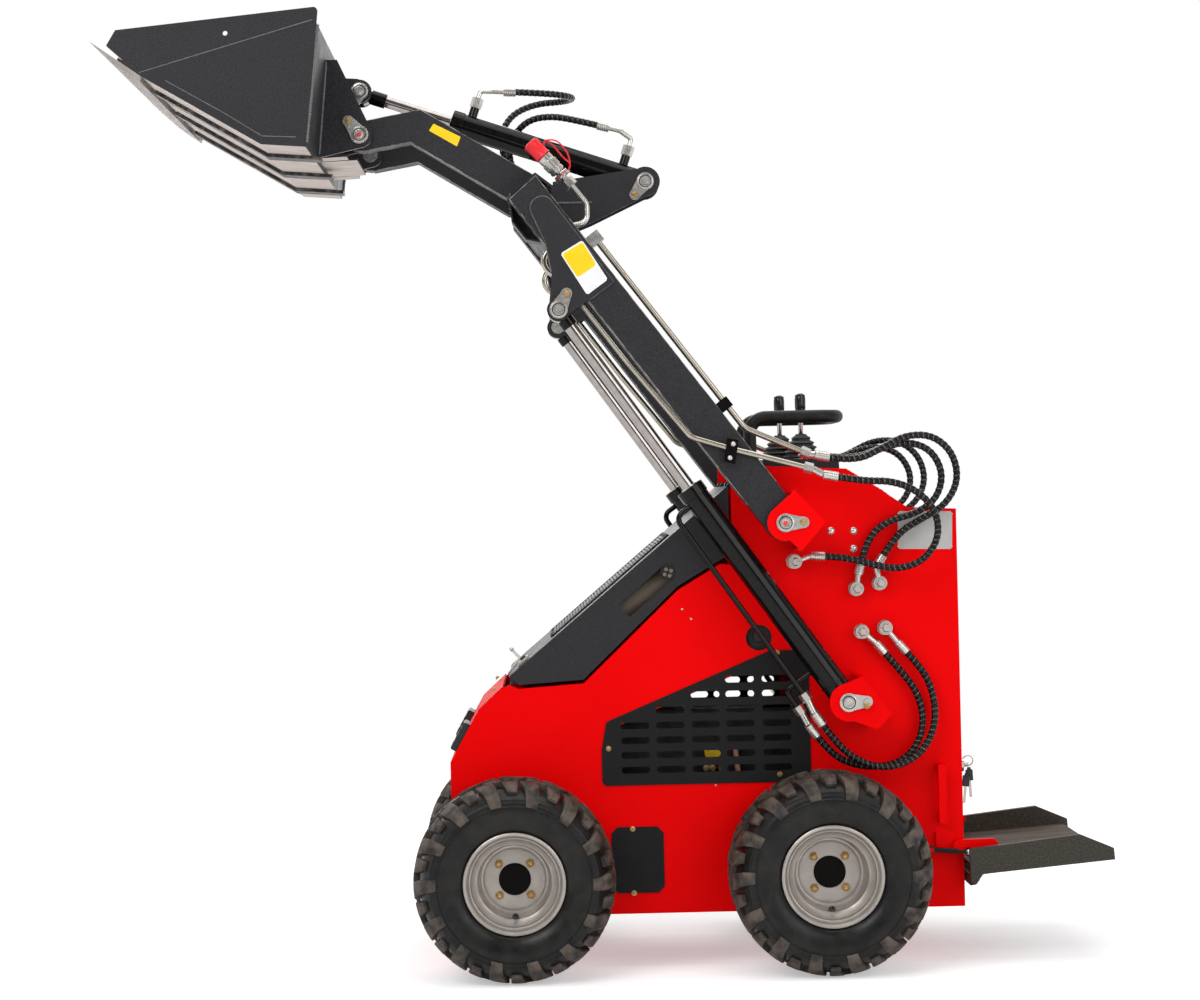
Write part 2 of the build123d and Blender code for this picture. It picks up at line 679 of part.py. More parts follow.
def hoseBanjos():
    table = (((-497, 875), 260, boomHoseUpper), ((-443, 863), 260, boomHoseInner), ((-301, 929), 280, boomHoseLower),
             ((-507, 772), 262, liftHoseOuter), ((-453, 764), 262, liftHoseInner))
    pieces = []
    for centre, y, points in table:
        pieces += bothSides(banjo(centre, y, points))
    return pieces


pipeAbove = 20.5                  # pipes' axis above the top face of the main arms
pipeRows = (328, 348)


def onArm(distance, above):
    # an X, Z place up the arm from its rear corner, and above its top face
    length = math.hypot(armTop[1][0] - armTop[0][0], armTop[1][1] - armTop[0][1])
    ux = (armTop[1][0] - armTop[0][0]) / length
    uz = (armTop[1][1] - armTop[0][1]) / length
    return (armTop[0][0] + ux * distance - uz * above, armTop[0][1] + uz * distance + ux * above)


def atY(place, y):
    return (place[0], y, place[1])


pipeTop = onArm(754, pipeAbove)
pipeBend = onArm(221, pipeAbove)
upperPipeEnd = (-315, 1181)
lowerPipeEnd = (-318, 1145)
lowerPipeCorner = (-154, 1190)


def boomPipes():
    lower = [(173.6, 345, 1550.4), (184.9, 345, 1542), (75, 352, 1394), (-66, 378, 1218),
             atY(lowerPipeCorner, 378), atY(lowerPipeEnd, 378)]
    pieces = []
    for y in pipeRows:
        pieces += bothSides(pipe([atY(pipeTop, y), atY(pipeBend, y), atY(upperPipeEnd, y)], 40))
    solid, _ = tube(lower, pipeRadius, [11, 300, 40, 40])
    return pieces + bothSides(solid)


def boomFittings():
    pieces = []
    for y, points in zip(pipeRows, (boomHoseInner, boomHoseUpper)):
        pieces += bothSides(hoseEnd(points[0], points[1], atY(upperPipeEnd, y), atY(pipeBend, y)))
    points = boomHoseLower
    pieces += bothSides(hoseEnd(points[0], points[1], atY(lowerPipeEnd, 378), atY(lowerPipeCorner, 378)))
    slope = slopeOf(armTop[0], armTop[1])
    middle = onArm(754 + 14, 17)
    pieces += bothSides(Pos(middle[0], 338, middle[1]) * Rot(0, -slope, 0) * Box(28, 46, 34))
    for points in (tiltHoseFront, tiltHoseRear):
        end = points[-1]
        crimp = pointAlong(end, points[-2], -28)
        fitting = rodBetween(end, crimp, ferruleRadius)
        fitting += rodBetween(crimp, (crimp[0] - 14, crimp[1], crimp[2] - 30), 7)
        pieces.append(fitting - plate(crossMemberOutline, -300, 300))
    return pieces


def liftFrame(alongRodAxis, off, y):
    # a place beside the lift cylinder: distance up its axis from the foot, and off its lower face
    ux = (liftEye[0] - liftFoot[0]) / liftLength
    uz = (liftEye[1] - liftFoot[1]) / liftLength
    return (liftFoot[0] + ux * alongRodAxis + uz * off, y, liftFoot[1] + uz * alongRodAxis - ux * off)


rodLineY = 346
footLineY = 328


def liftLines():
    # the black oil line to the rod end, welded to a port, and the short one at the foot
    rodLine, _ = tube([liftFrame(566, 20, rodLineY), liftFrame(566, 66, rodLineY), liftFrame(74, 70, rodLineY)],
                      pipeRadius, [20])
    footLine, _ = tube([liftFrame(100, 18, footLineY), liftFrame(100, 98, footLineY),
                        liftFrame(56, 98, footLineY)], pipeRadius, [16])
    return rodLine + footLine


def liftFittings():
    pieces = []
    outer, inner = liftHoseOuter, liftHoseInner
    pieces += bothSides(hoseEnd(outer[0], outer[1], liftFrame(74, 70, rodLineY), liftFrame(566, 66, rodLineY)))
    pieces += bothSides(hoseEnd(inner[0], inner[1], liftFrame(56, 98, footLineY), liftFrame(100, 98, footLineY)))
    return pieces


def tiltFrame(alongAxis, off):
    ux = (tiltEye[0] - tiltFoot[0]) / tiltLength
    uz = (tiltEye[1] - tiltFoot[1]) / tiltLength
    return (tiltFoot[0] + ux * alongAxis - uz * off, 0, tiltFoot[1] + uz * alongAxis + ux * off)


tiltPorts = (440, 62)             # distances of the two ports from the rear pin


def tiltStubs():
    solid = None
    for place in tiltPorts:
        stub = rodBetween(tiltFrame(place, 20), tiltFrame(place, 50), 11)
        solid = stub if solid is None else solid + stub
    return solid


def tiltFittings():
    pieces = []
    for place, points in zip(tiltPorts, (tiltHoseFront, tiltHoseRear)):
        base = tiltFrame(place, 50)
        nut = tiltFrame(place, 74)
        start, second = points[0], points[1]
        back = pointAlong(start, second, -28)
        corner = pointAlong(start, second, -54)
        bend, _ = tube([nut, tiltFrame(place, 92), corner, back], 6, [9, 12])
        pieces.append(hexBetween(base, nut, 24) + bend + rodBetween(back, start, ferruleRadius))
    return pieces


couplerCap = (286, 1905)
couplerNut = (189, 1801)
couplerY = 280


def quickCouplers():
    start = (couplerNut[0], couplerY, couplerNut[1])
    end = (couplerCap[0], couplerY, couplerCap[1])
    body = hexBetween(start, pointAlong(start, end, 20), 27)
    body += rodBetween(pointAlong(start, end, 20), pointAlong(start, end, 44), 9)
    body += rodBetween(pointAlong(start, end, 28), pointAlong(start, end, 32), 20)
    body += rodBetween(pointAlong(start, end, 44), pointAlong(start, end, 96), 14)
    line, _ = tube([start, (157, couplerY, 1760), (157, couplerY, 1716), (236, couplerY, 1703)], pipeRadius,
                   [26, 22])
    return [(body + line) - plate(crossMemberOutline, -300, 300)]


def couplerCaps():
    start = (couplerNut[0], couplerY, couplerNut[1])
    end = (couplerCap[0], couplerY, couplerCap[1])
    return [rodBetween(pointAlong(start, end, 96), pointAlong(start, end, 138), 16.5)]


def pipeClamps():
    # blocks that hold the pipes to the arms
    middle = onArm(292, 15.5)
    slope = slopeOf(armTop[0], armTop[1])
    block = Pos(middle[0], armY, middle[1]) * Rot(0, -slope, 0) * Box(26, 46, 31)
    for y in pipeRows:
        block -= alongRod(pipeBend, pipeTop, y, pipeRadius, 0, 200)
    return bothSides(block)


def main():
    os.makedirs("parts", exist_ok=True)
    save("side_plates", *sidePlates())
    front, belly, rear = bodyPanels()
    save("front_panel", front)
    save("belly_plate", belly)
    save("rear_panel", rear)
    save("top_deck", topDeck())
    save("side_covers", *sideGrilles(), *accessCovers())
    save("body_brackets", *pivotBrackets(), *tieDowns(), *platformLugs())
    save("chassis_pins", *chassisPins())
    save("engine_block", engineBlock())
    save("wheel_motors", *wheelMotors())
    save("headlamps", *headlamps())
    save("handlebar", handlebar())
    save("control_levers", *controlLevers())
    save("key_switch", keySwitch())
    wheels()
    save("main_arms", *mainArms())
    save("front_arms", *frontArms())
    save("cross_member", crossMember())
    save("boom_pins", *boomPins())
    liftTubes, liftRods = liftCylinders()
    save("lift_barrels", *liftTubes)
    save("lift_rods", *liftRods)
    tiltTube, tiltRod = tiltCylinder()
    save("tilt_barrel", tiltTube)
    save("tilt_rod", tiltRod)
    save("bucket_shell", bucketShell())
    save("bucket_wear", cuttingEdge(), *wearStrips())
    save("bucket_ears", *bucketEars())
    save("bucket_pins", *bucketPins())
    save("platform_floor", platformFloor())
    save("platform_sides", *platformSides())
    save("platform_arms", *platformArms())
    save("platform_stays", *platformStays())
    save("hood", hoodLid())
    save("hose_banjos", *hoseBanjos())
    save("boom_pipes", *boomPipes())
    save("boom_fittings", *boomFittings())
    save("pipe_clamps", *pipeClamps())
    save("lift_fittings", *liftFittings())
    save("tilt_fittings", *tiltFittings())
    save("quick_couplers", *quickCouplers())
    save("coupler_caps", *couplerCaps())
    bodyHoses()


main()
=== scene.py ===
import bpy
import bmesh
import math
import random
from mathutils import Vector, Matrix


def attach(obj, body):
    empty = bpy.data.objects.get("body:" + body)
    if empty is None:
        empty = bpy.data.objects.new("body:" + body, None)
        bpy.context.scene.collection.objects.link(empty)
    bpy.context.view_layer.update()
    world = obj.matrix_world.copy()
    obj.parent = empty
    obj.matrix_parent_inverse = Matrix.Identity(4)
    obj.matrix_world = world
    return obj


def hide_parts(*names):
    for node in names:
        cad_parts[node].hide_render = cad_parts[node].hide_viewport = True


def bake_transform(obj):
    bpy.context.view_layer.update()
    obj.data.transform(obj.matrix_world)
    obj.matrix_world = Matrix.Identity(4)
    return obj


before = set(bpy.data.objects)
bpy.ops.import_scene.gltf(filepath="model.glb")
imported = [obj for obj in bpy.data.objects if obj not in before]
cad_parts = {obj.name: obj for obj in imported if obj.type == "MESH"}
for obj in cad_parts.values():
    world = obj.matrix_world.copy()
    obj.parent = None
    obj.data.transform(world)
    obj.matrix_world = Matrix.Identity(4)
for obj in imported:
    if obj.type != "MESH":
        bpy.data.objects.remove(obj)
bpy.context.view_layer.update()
random.seed(11)
print("frame loaded")

# the machine is drawn about its wheelbase and stands about its length;
# sizes of its pieces are in millimetres, and those under 0.1 in metres
lengthMiddle = 0.1155
bodyHalf = 240
sides = (1, -1)
sideNames = (("left", 1), ("right", -1))


def at(x, y, z):
    return Vector((x / 1000 - lengthMiddle, y / 1000, z / 1000))


def both(y):
    return (y, -y)


# nodes
def addNode(tree, kind, inputs=(), **settings):
    made = tree.nodes.new("ShaderNode" + kind)
    for key, value in settings.items():
        setattr(made, key, value)
    for key, value in dict(inputs).items():
        made.inputs[key].default_value = value
    return made


def join(tree, *pairs):
    for source, target in pairs:
        tree.links.new(source, target)


def objectNoise(tree, scale, detail=4.0, stretch=(1, 1, 1)):
    place = addNode(tree, "TexCoord")
    mapping = addNode(tree, "Mapping", {"Scale": stretch})
    noise = addNode(tree, "TexNoise", {"Scale": scale, "Detail": detail})
    join(tree, (place.outputs["Object"], mapping.inputs["Vector"]),
         (mapping.outputs["Vector"], noise.inputs["Vector"]))
    return noise.outputs["Fac"]


def ramp(tree, source, stops):
    made = addNode(tree, "ValToRGB")
    for element, (place, colour) in zip(made.color_ramp.elements, stops):
        element.position = place
        element.color = (*colour, 1)
    join(tree, (source, made.inputs["Fac"]))
    return made.outputs["Color"]


def blendTints(tree, blend):
    # two tints, one changing to the other along the surface's own normal or place
    place = addNode(tree, "TexCoord")
    parts = addNode(tree, "SeparateXYZ")
    share = addNode(tree, "MapRange", {"From Min": blend["start"], "From Max": blend["end"]})
    mix = addNode(tree, "Mix", data_type="RGBA")
    join(tree, (place.outputs[blend["kind"]], parts.inputs["Vector"]),
         (parts.outputs[blend["axis"]], share.inputs["Value"]), (share.outputs["Result"], mix.inputs[0]))
    colours = [socket for socket in mix.inputs if socket.type == "RGBA"]
    for socket, (scale, stretch, stops) in zip(colours, blend["tints"]):
        join(tree, (ramp(tree, objectNoise(tree, scale, stretch=stretch), stops), socket))
    return [socket for socket in mix.outputs if socket.type == "RGBA"][0]


# finishes: tint, gloss and bump hold the scale of a noise and what it runs between
coatRough = 0.12
glossSpread = (0.3, 0.7)
bumpDetail = 3.0


def makeMaterial(name, colour, rough, metal=0.0, coat=0.0, specular=0.5, tint=None, spread=(0.35, 0.65),
                 stretch=(1, 1, 1), blend=None, gloss=None, bump=None):
    material = bpy.data.materials.new(name)
    material.use_nodes = True
    tree = material.node_tree
    inputs = tree.nodes["Principled BSDF"].inputs
    for key, value in {"Base Color": (*colour, 1), "Roughness": rough, "Metallic": metal, "Coat Weight": coat,
                       "Coat Roughness": coatRough, "Specular IOR Level": specular}.items():
        inputs[key].default_value = value
    if tint:
        scale, *tones = tint
        noise = objectNoise(tree, scale, stretch=stretch)
        join(tree, (ramp(tree, noise, list(zip(spread, tones))), inputs["Base Color"]))
    if blend:
        join(tree, (blendTints(tree, blend), inputs["Base Color"]))
    if gloss:
        scale, *levels = gloss
        stops = [(place, (level, level, level)) for place, level in zip(glossSpread, levels)]
        join(tree, (ramp(tree, objectNoise(tree, scale), stops), inputs["Roughness"]))
    if bump:
        scale, distance, strength = bump
        relief = addNode(tree, "Bump", {"Strength": strength, "Distance": distance})
        join(tree, (objectNoise(tree, scale, bumpDetail), relief.inputs["Height"]),
             (relief.outputs["Normal"], inputs["Normal"]))
    return material


def moulded(name, colour, rough):
    return makeMaterial(name, colour, rough, gloss=(50, rough * 0.8, rough * 1.25), bump=(700, 0.0003, 0.25))


def printedFilm(name, colour):
    faded = tuple(c * 0.93 for c in colour)
    return makeMaterial(name, colour, 0.3, tint=(30, faded, colour), gloss=(40, 0.25, 0.4))


# dark paint, with a pale painted reflection of the floor on the faces that look down
bucketFloorReflectionBlend = {"kind": "Normal", "axis": "Z", "start": -0.45, "end": -0.7, "tints": [
    (300, (1, 1, 1), ((0.3, (0.015, 0.015, 0.0175)), (0.7, (0.034, 0.0335, 0.038)))),
    (16, (1, 5, 1), ((0.3, (0.53, 0.455, 0.41)), (0.7, (0.74, 0.655, 0.6))))]}
# gloss black on the strips, bare pink-grey steel at the cutting edge ahead of them
wearBlend = {"kind": "Generated", "axis": "X", "start": 0.76, "end": 0.78, "tints": [
    (70, (1, 1, 1), ((0.45, (0.009, 0.0085, 0.0085)), (0.78, (0.16, 0.14, 0.13)))),
    (18, (1, 6, 1), ((0.3, (0.2, 0.172, 0.158)), (0.7, (0.34, 0.3, 0.28))))]}

finishes = {
    "red": makeMaterial("redPaint", (0.8, 0.0004, 0.001), 0.44, specular=0.04,
        tint=(3.2, (0.77, 0.0003, 0.0008), (0.84, 0.0006, 0.0014)), gloss=(22, 0.36, 0.48),
        bump=(900, 0.0002, 0.12)),
    "grey": makeMaterial("greyPaint", (0.025, 0.0245, 0.027), 0.46, specular=0.22,
        tint=(420, (0.015, 0.0145, 0.0165), (0.031, 0.03, 0.033)), gloss=(30, 0.38, 0.5),
        bump=(1500, 0.0002, 0.3)),
    "cover": makeMaterial("coverPaint", (0.011, 0.0105, 0.011), 0.5, specular=0.15,
        tint=(420, (0.0065, 0.006, 0.0065), (0.015, 0.014, 0.015)), gloss=(30, 0.42, 0.56),
        bump=(1500, 0.0002, 0.3)),
    # the pale on the bucket's downward faces is a painted reflection of the floor
    "bucket": makeMaterial("bucketDarkPaintAndFloorReflection", (0.025, 0.025, 0.029), 0.4, specular=0.18, blend=bucketFloorReflectionBlend,
        gloss=(16, 0.42, 0.58), bump=(90, 0.0006, 0.25)),
    "black": makeMaterial("blackPaint", (0.0035, 0.003, 0.003), 0.1, specular=0.24,
        tint=(90, (0.0025, 0.0022, 0.002), (0.006, 0.005, 0.0045)), gloss=(40, 0.07, 0.14),
        bump=(500, 0.0001, 0.12)),
    "rubber": makeMaterial("tyreRubber", (0.009, 0.0088, 0.0086), 0.32, specular=0.28,
        tint=(30, (0.006, 0.006, 0.0058), (0.015, 0.0142, 0.013)), gloss=(45, 0.24, 0.4),
        bump=(700, 0.0005, 0.3)),
    "tread": makeMaterial("dustyTread", (0.03, 0.025, 0.021), 0.62,
        tint=(40, (0.013, 0.0112, 0.0095), (0.1, 0.074, 0.056)), gloss=(60, 0.45, 0.75),
        bump=(320, 0.0012, 0.5)),
    "wheel": makeMaterial("wheelPaint", (0.45, 0.41, 0.375), 0.34, metal=0.6,
        tint=(24, (0.42, 0.38, 0.35), (0.49, 0.45, 0.41)), gloss=(70, 0.3, 0.46),
        bump=(1400, 0.0002, 0.25)),
    "zinc": makeMaterial("zincPlate", (0.62, 0.6, 0.56), 0.28, metal=0.92,
        tint=(110, (0.58, 0.56, 0.52), (0.66, 0.64, 0.6)), gloss=(90, 0.22, 0.32),
        bump=(500, 0.0001, 0.12)),
    "brass": makeMaterial("yellowZinc", (0.72, 0.47, 0.2), 0.34, metal=0.9,
        tint=(120, (0.42, 0.27, 0.11), (0.66, 0.44, 0.2)), gloss=(90, 0.25, 0.45)),
    "chrome": makeMaterial("hardChrome", (0.43, 0.395, 0.375), 0.1, metal=1.0,
        tint=(60, (0.4, 0.365, 0.345), (0.46, 0.43, 0.41)), gloss=(30, 0.08, 0.16),
        bump=(900, 0.0001, 0.1)),
    "tube": makeMaterial("plainTube", (0.5, 0.45, 0.37), 0.24, metal=0.95,
        tint=(22, (0.47, 0.425, 0.35), (0.53, 0.485, 0.405)), gloss=(30, 0.18, 0.24)),
    "worn": makeMaterial("wornSteel", (0.3, 0.26, 0.24), 0.5, metal=0.1, blend=wearBlend,
        gloss=(30, 0.36, 0.56), bump=(140, 0.0003, 0.2)),
    "mat": makeMaterial("gripMat", (0.07, 0.057, 0.045), 0.75, specular=0.2,
        tint=(22, (0.036, 0.03, 0.024), (0.115, 0.093, 0.073)), stretch=(0.12, 1, 1),
        bump=(160, 0.0012, 0.4)),
    # paint along a bent edge, with pale patches as a painted highlight along it
    "edge": makeMaterial("edgeHighlightPaint", (0.06, 0.058, 0.058), 0.3,
        tint=(45, (0.04, 0.039, 0.041), (0.32, 0.3, 0.285)), spread=(0.4, 0.65), gloss=(60, 0.22, 0.4)),
    "hose": makeMaterial("hoseCover", (0.005, 0.0046, 0.0045), 0.18, specular=0.2,
        tint=(120, (0.0035, 0.0032, 0.003), (0.009, 0.008, 0.0078)), gloss=(60, 0.14, 0.24),
        bump=(600, 0.0002, 0.15)),
    # the crest of the spiral guard, made lighter as a painted highlight
    "ridge": makeMaterial("hoseCrestHighlight", (0.06, 0.055, 0.053), 0.24,
        tint=(130, (0.028, 0.025, 0.024), (0.12, 0.11, 0.108)), gloss=(60, 0.18, 0.3)),
    "foam": makeMaterial("gripFoam", (0.008, 0.0068, 0.006), 0.42, specular=0.24,
        tint=(60, (0.005, 0.0044, 0.004), (0.013, 0.011, 0.0098)), bump=(520, 0.001, 0.5)),
    "hub": makeMaterial("hubCap", (0.004, 0.0035, 0.003), 0.42, specular=0.07, gloss=(60, 0.34, 0.5),
        bump=(700, 0.0003, 0.2)),
    "step": makeMaterial("stepPaint", (0.04, 0.037, 0.03), 0.5, specular=0.2,
        tint=(240, (0.03, 0.0275, 0.022), (0.06, 0.055, 0.043)), gloss=(30, 0.42, 0.56),
        bump=(1200, 0.0002, 0.3)),
    "glass": makeMaterial("lampGlass", (0.75, 0.76, 0.78), 0.12, coat=0.6,
        tint=(160, (0.5, 0.51, 0.53), (0.9, 0.91, 0.93)), bump=(300, 0.0006, 0.4)),
    "plastic": moulded("lampShell", (0.012, 0.012, 0.012), 0.4),
    "knob": moulded("knobPlastic", (0.008, 0.008, 0.008), 0.22),
    "boot": moulded("bellowsRubber", (0.016, 0.016, 0.017), 0.5),
    "cap": moulded("capRubber", (0.74, 0.006, 0.014), 0.36),
    "iron": moulded("engineIron", (0.012, 0.011, 0.01), 0.7),
    "canister": moulded("canisterPaint", (0.16, 0.135, 0.1), 0.5),
    "dab": moulded("markPaint", (0.8, 0.03, 0.02), 0.4),
    "copper": moulded("copperPipe", (0.75, 0.36, 0.22), 0.35),
    # the weld bead's grey, lighter than the paint about it, is a painted highlight
    "weld": moulded("weldBead", (0.1, 0.098, 0.1), 0.1),
    "yellow": printedFilm("yellowFilm", (0.93, 0.6, 0.0)),
    "white": printedFilm("whiteFilm", (0.82, 0.82, 0.84)),
    "plate": printedFilm("ratingPlate", (0.46, 0.45, 0.44)),
}
print("finishes ready")


# camera, light and floor
camera = {"place": (0.1407, 6.7, 1.095), "lens": 84.12, "roll": -1.35, "shift": (50 / 1200, -5 / 1200),
          "sensor": 36, "farthest": 100}


def addObject(name, data):
    holder = bpy.data.objects.new(name, data)
    bpy.context.scene.collection.objects.link(holder)
    return holder


def makeCamera():
    data = bpy.data.cameras.new("camera")
    data.lens = camera["lens"]
    data.sensor_width = camera["sensor"]
    data.shift_x, data.shift_y = camera["shift"]
    data.clip_end = camera["farthest"]
    holder = addObject("camera", data)
    look = Matrix.Rotation(math.pi, 4, "Z") @ Matrix.Rotation(math.pi / 2, 4, "X")
    roll = Matrix.Rotation(math.radians(camera["roll"]), 4, "Z")
    holder.matrix_world = Matrix.Translation(camera["place"]) @ look @ roll
    bpy.context.scene.camera = holder


lampTarget = Vector((0, 0, 0.9))
lamps = [
    {"name": "keyLamp", "place": (2.6, 4.6, 4.2), "size": 3.2, "power": 140},
    {"name": "fillLamp", "place": (-3.4, 4.4, 2.6), "size": 3.6, "power": 90},
    {"name": "topLamp", "place": (0.0, 0.4, 5.2), "size": 4.0, "power": 84},
    {"name": "backLamp", "place": (0.5, -4.6, 3.2), "size": 3.4, "power": 76},
]


def makeLamps():
    for lamp in lamps:
        data = bpy.data.lights.new(lamp["name"], "AREA")
        data.size = lamp["size"]
        data.energy = lamp["power"]
        aim = lampTarget - Vector(lamp["place"])
        turn = aim.to_track_quat("-Z", "Y").to_matrix().to_4x4()
        addObject(lamp["name"], data).matrix_world = Matrix.Translation(lamp["place"]) @ turn


sky = {"diffuse": ((1, 1, 1), 0.46), "camera": ((1, 1, 1), 1.0), "screen": ((1.0, 0.95, 0.93), 0.95),
       "room": ((0.95, 0.95, 1.0), 0.16), "start": -0.25, "end": 0.45}


def mixShaders(tree, share, low, high):
    mix = addNode(tree, "MixShader")
    join(tree, (share, mix.inputs["Fac"]), (low, mix.inputs[1]), (high, mix.inputs[2]))
    return mix.outputs[0]


def makeWorld():
    world = bpy.data.worlds.new("studio")
    bpy.context.scene.world = world
    world.use_nodes = True
    tree = world.node_tree
    tree.nodes.clear()

    def shade(name):
        colour, strength = sky[name]
        return addNode(tree, "Background", {"Color": (*colour, 1), "Strength": strength}).outputs[0]

    rays = addNode(tree, "LightPath").outputs
    direct = addNode(tree, "Math", operation="MAXIMUM")
    join(tree, (rays["Is Camera Ray"], direct.inputs[0]), (rays["Is Transmission Ray"], direct.inputs[1]))
    seen = mixShaders(tree, direct.outputs[0], shade("diffuse"), shade("camera"))
    # mirrors see a white screen behind the machine and a dim room on the camera's side
    spot = addNode(tree, "TexCoord")
    parts = addNode(tree, "SeparateXYZ")
    side = addNode(tree, "MapRange", {"From Min": sky["start"], "From Max": sky["end"]},
                   interpolation_type="SMOOTHSTEP")
    join(tree, (spot.outputs["Generated"], parts.inputs["Vector"]),
         (parts.outputs["Y"], side.inputs["Value"]))
    mirror = mixShaders(tree, side.outputs["Result"], shade("screen"), shade("room"))
    out = addNode(tree, "OutputWorld")
    join(tree, (mixShaders(tree, rays["Is Glossy Ray"], seen, mirror), out.inputs["Surface"]))


floorLook = {"cameraLift": 0.42, "mirrorLift": 0.1, "fadeStart": 2.2, "fadeEnd": 4.5, "half": 30,
             "sink": 0.0005, "colour": (0.86, 0.86, 0.86, 1)}


def makeFloor():
    mesh = bpy.data.meshes.new("floor")
    half = floorLook["half"]
    corners = [(-half, -half, 0), (half, -half, 0), (half, half, 0), (-half, half, 0)]
    mesh.from_pydata(corners, [], [(0, 1, 2, 3)])
    floor = addObject("floor", mesh)
    floor.location.z = -floorLook["sink"]
    material = bpy.data.materials.new("paleFloor")
    material.use_nodes = True
    tree = material.node_tree
    tree.nodes.clear()
    diffuse = addNode(tree, "BsdfDiffuse", {"Color": floorLook["colour"]})
    rays = addNode(tree, "LightPath").outputs
    share = addNode(tree, "Math", {1: floorLook["cameraLift"]}, operation="MULTIPLY_ADD")
    glossy = addNode(tree, "Math", {1: floorLook["mirrorLift"]}, operation="MULTIPLY")
    lift = addNode(tree, "Emission")
    near = addNode(tree, "AddShader")
    join(tree, (rays["Is Glossy Ray"], glossy.inputs[0]), (rays["Is Camera Ray"], share.inputs[0]),
         (glossy.outputs[0], share.inputs[2]), (share.outputs[0], lift.inputs["Strength"]),
         (diffuse.outputs[0], near.inputs[0]), (lift.outputs[0], near.inputs[1]))
    # far from the object the floor is plain white
    spot = addNode(tree, "TexCoord")
    reach = addNode(tree, "VectorMath", operation="LENGTH")
    fade = addNode(tree, "MapRange", {"From Min": floorLook["fadeStart"], "From Max": floorLook["fadeEnd"]},
                   interpolation_type="SMOOTHSTEP")
    join(tree, (spot.outputs["Object"], reach.inputs[0]), (reach.outputs["Value"], fade.inputs["Value"]))
    whole = mixShaders(tree, fade.outputs["Result"], near.outputs[0], addNode(tree, "Emission").outputs[0])
    join(tree, (whole, addNode(tree, "OutputMaterial").inputs["Surface"]))
    mesh.materials.append(material)


makeCamera()
makeLamps()
makeWorld()
makeFloor()
bpy.context.scene.view_settings.view_transform = "Standard"
print("camera and light ready")


# mesh helpers
def finish(bm, name, materials, body, angle):
    bmesh.ops.recalc_face_normals(bm, faces=bm.faces)
    mesh = bpy.data.meshes.new(name)
    bm.to_mesh(mesh)
    bm.free()
    for key in materials:
        mesh.materials.append(finishes[key])
    for face in mesh.polygons:
        face.use_smooth = True
    mesh.set_sharp_from_angle(angle=math.radians(angle))
    piece = addObject(name, mesh)
    if body is not None:
        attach(piece, body)
    return piece


def facing(origin, direction):
    # a frame at a point, with its Z axis along the direction
    turn = Vector(direction).to_track_quat("Z", "Y").to_matrix().to_4x4()
    return Matrix.Translation(origin) @ turn


def outFrom(x, y, z, side=1):
    # a frame whose Z axis points out to one side
    return facing(at(x, side * y, z), (0, side, 0))


def circle(count, start=0.0):
    # evenly spaced angles
    return [start + 2 * math.pi * i / count for i in range(count)]


def around(local, angle, radius, height=0.0):
    # a place at an angle about a frame's Z axis
    return local @ (Vector((radius * math.cos(angle), radius * math.sin(angle), height)) / 1000)


def turned(bm, local, profile, steps, closed=False, index=0):
    # a profile of radius and height carried round the frame's Z axis
    rings = []
    for radius, height in profile:
        if radius < 1e-6:
            rings.append([bm.verts.new(local @ Vector((0, 0, height / 1000)))])
            continue
        rings.append([bm.verts.new(around(local, angle, radius, height)) for angle in circle(steps)])
    pairs = list(zip(rings, rings[1:]))
    if closed:
        pairs.append((rings[-1], rings[0]))
    for low, high in pairs:
        for i in range(steps):
            j = (i + 1) % steps
            corners = [low[i % len(low)], low[j % len(low)], high[j % len(high)], high[i % len(high)]]
            unique = list(dict.fromkeys(corners))
            if len(unique) > 2:
                bm.faces.new(unique).material_index = index


def skin(bm, rings, index=0, capped=True, crests=()):
    # quads from each ring to the next, one index higher on the crests, and a face on each end
    steps = len(rings[0])
    for i, (low, high) in enumerate(zip(rings, rings[1:])):
        for k in range(steps):
            j = (k + 1) % steps
            raised = 1 if crests and crests[i * steps + k] else 0
            bm.faces.new([low[k], low[j], high[j], high[k]]).material_index = index + raised
    if capped:
        for ring in (rings[0], rings[-1]):
            bm.faces.new(ring).material_index = index


def prism(bm, outline, yLow, yHigh, index=0, chamfer=0.0):
    # an outline of X, Z points between two distances from the centre line
    centreX, centreZ = (sum(p[k] for p in outline) / len(outline) for k in (0, 1))

    def inset(point):
        away = Vector((point[0] - centreX, point[1] - centreZ))
        away = away * max(0.0, 1 - chamfer * 1.4 / max(away.length, 1))
        return (centreX + away.x, centreZ + away.y)

    levels = [(yLow, False), (yHigh, False)]
    if chamfer:
        levels = [(yLow, True), (yLow + chamfer, False), (yHigh - chamfer, False), (yHigh, True)]
    rings = []
    for y, small in levels:
        spots = [inset(p) if small else p for p in outline]
        rings.append([bm.verts.new(at(x, y, z)) for x, z in spots])
    skin(bm, rings, index)


def slab(bm, local, size, index, edge):
    # a block with broken edges, centred on a frame
    wide, deep, high = (s / 2 for s in size)
    rings = []
    for z, shrink in ((-high, edge), (-high + edge, 0), (high - edge, 0), (high, edge)):
        w, d = wide - shrink, deep - shrink
        corners = [(-w + edge, -d), (w - edge, -d), (w, -d + edge), (w, d - edge),
                   (w - edge, d), (-w + edge, d), (-w, d - edge), (-w, -d + edge)]
        rings.append([bm.verts.new(local @ (Vector((x, y, z)) / 1000)) for x, y in corners])
    skin(bm, rings, index)


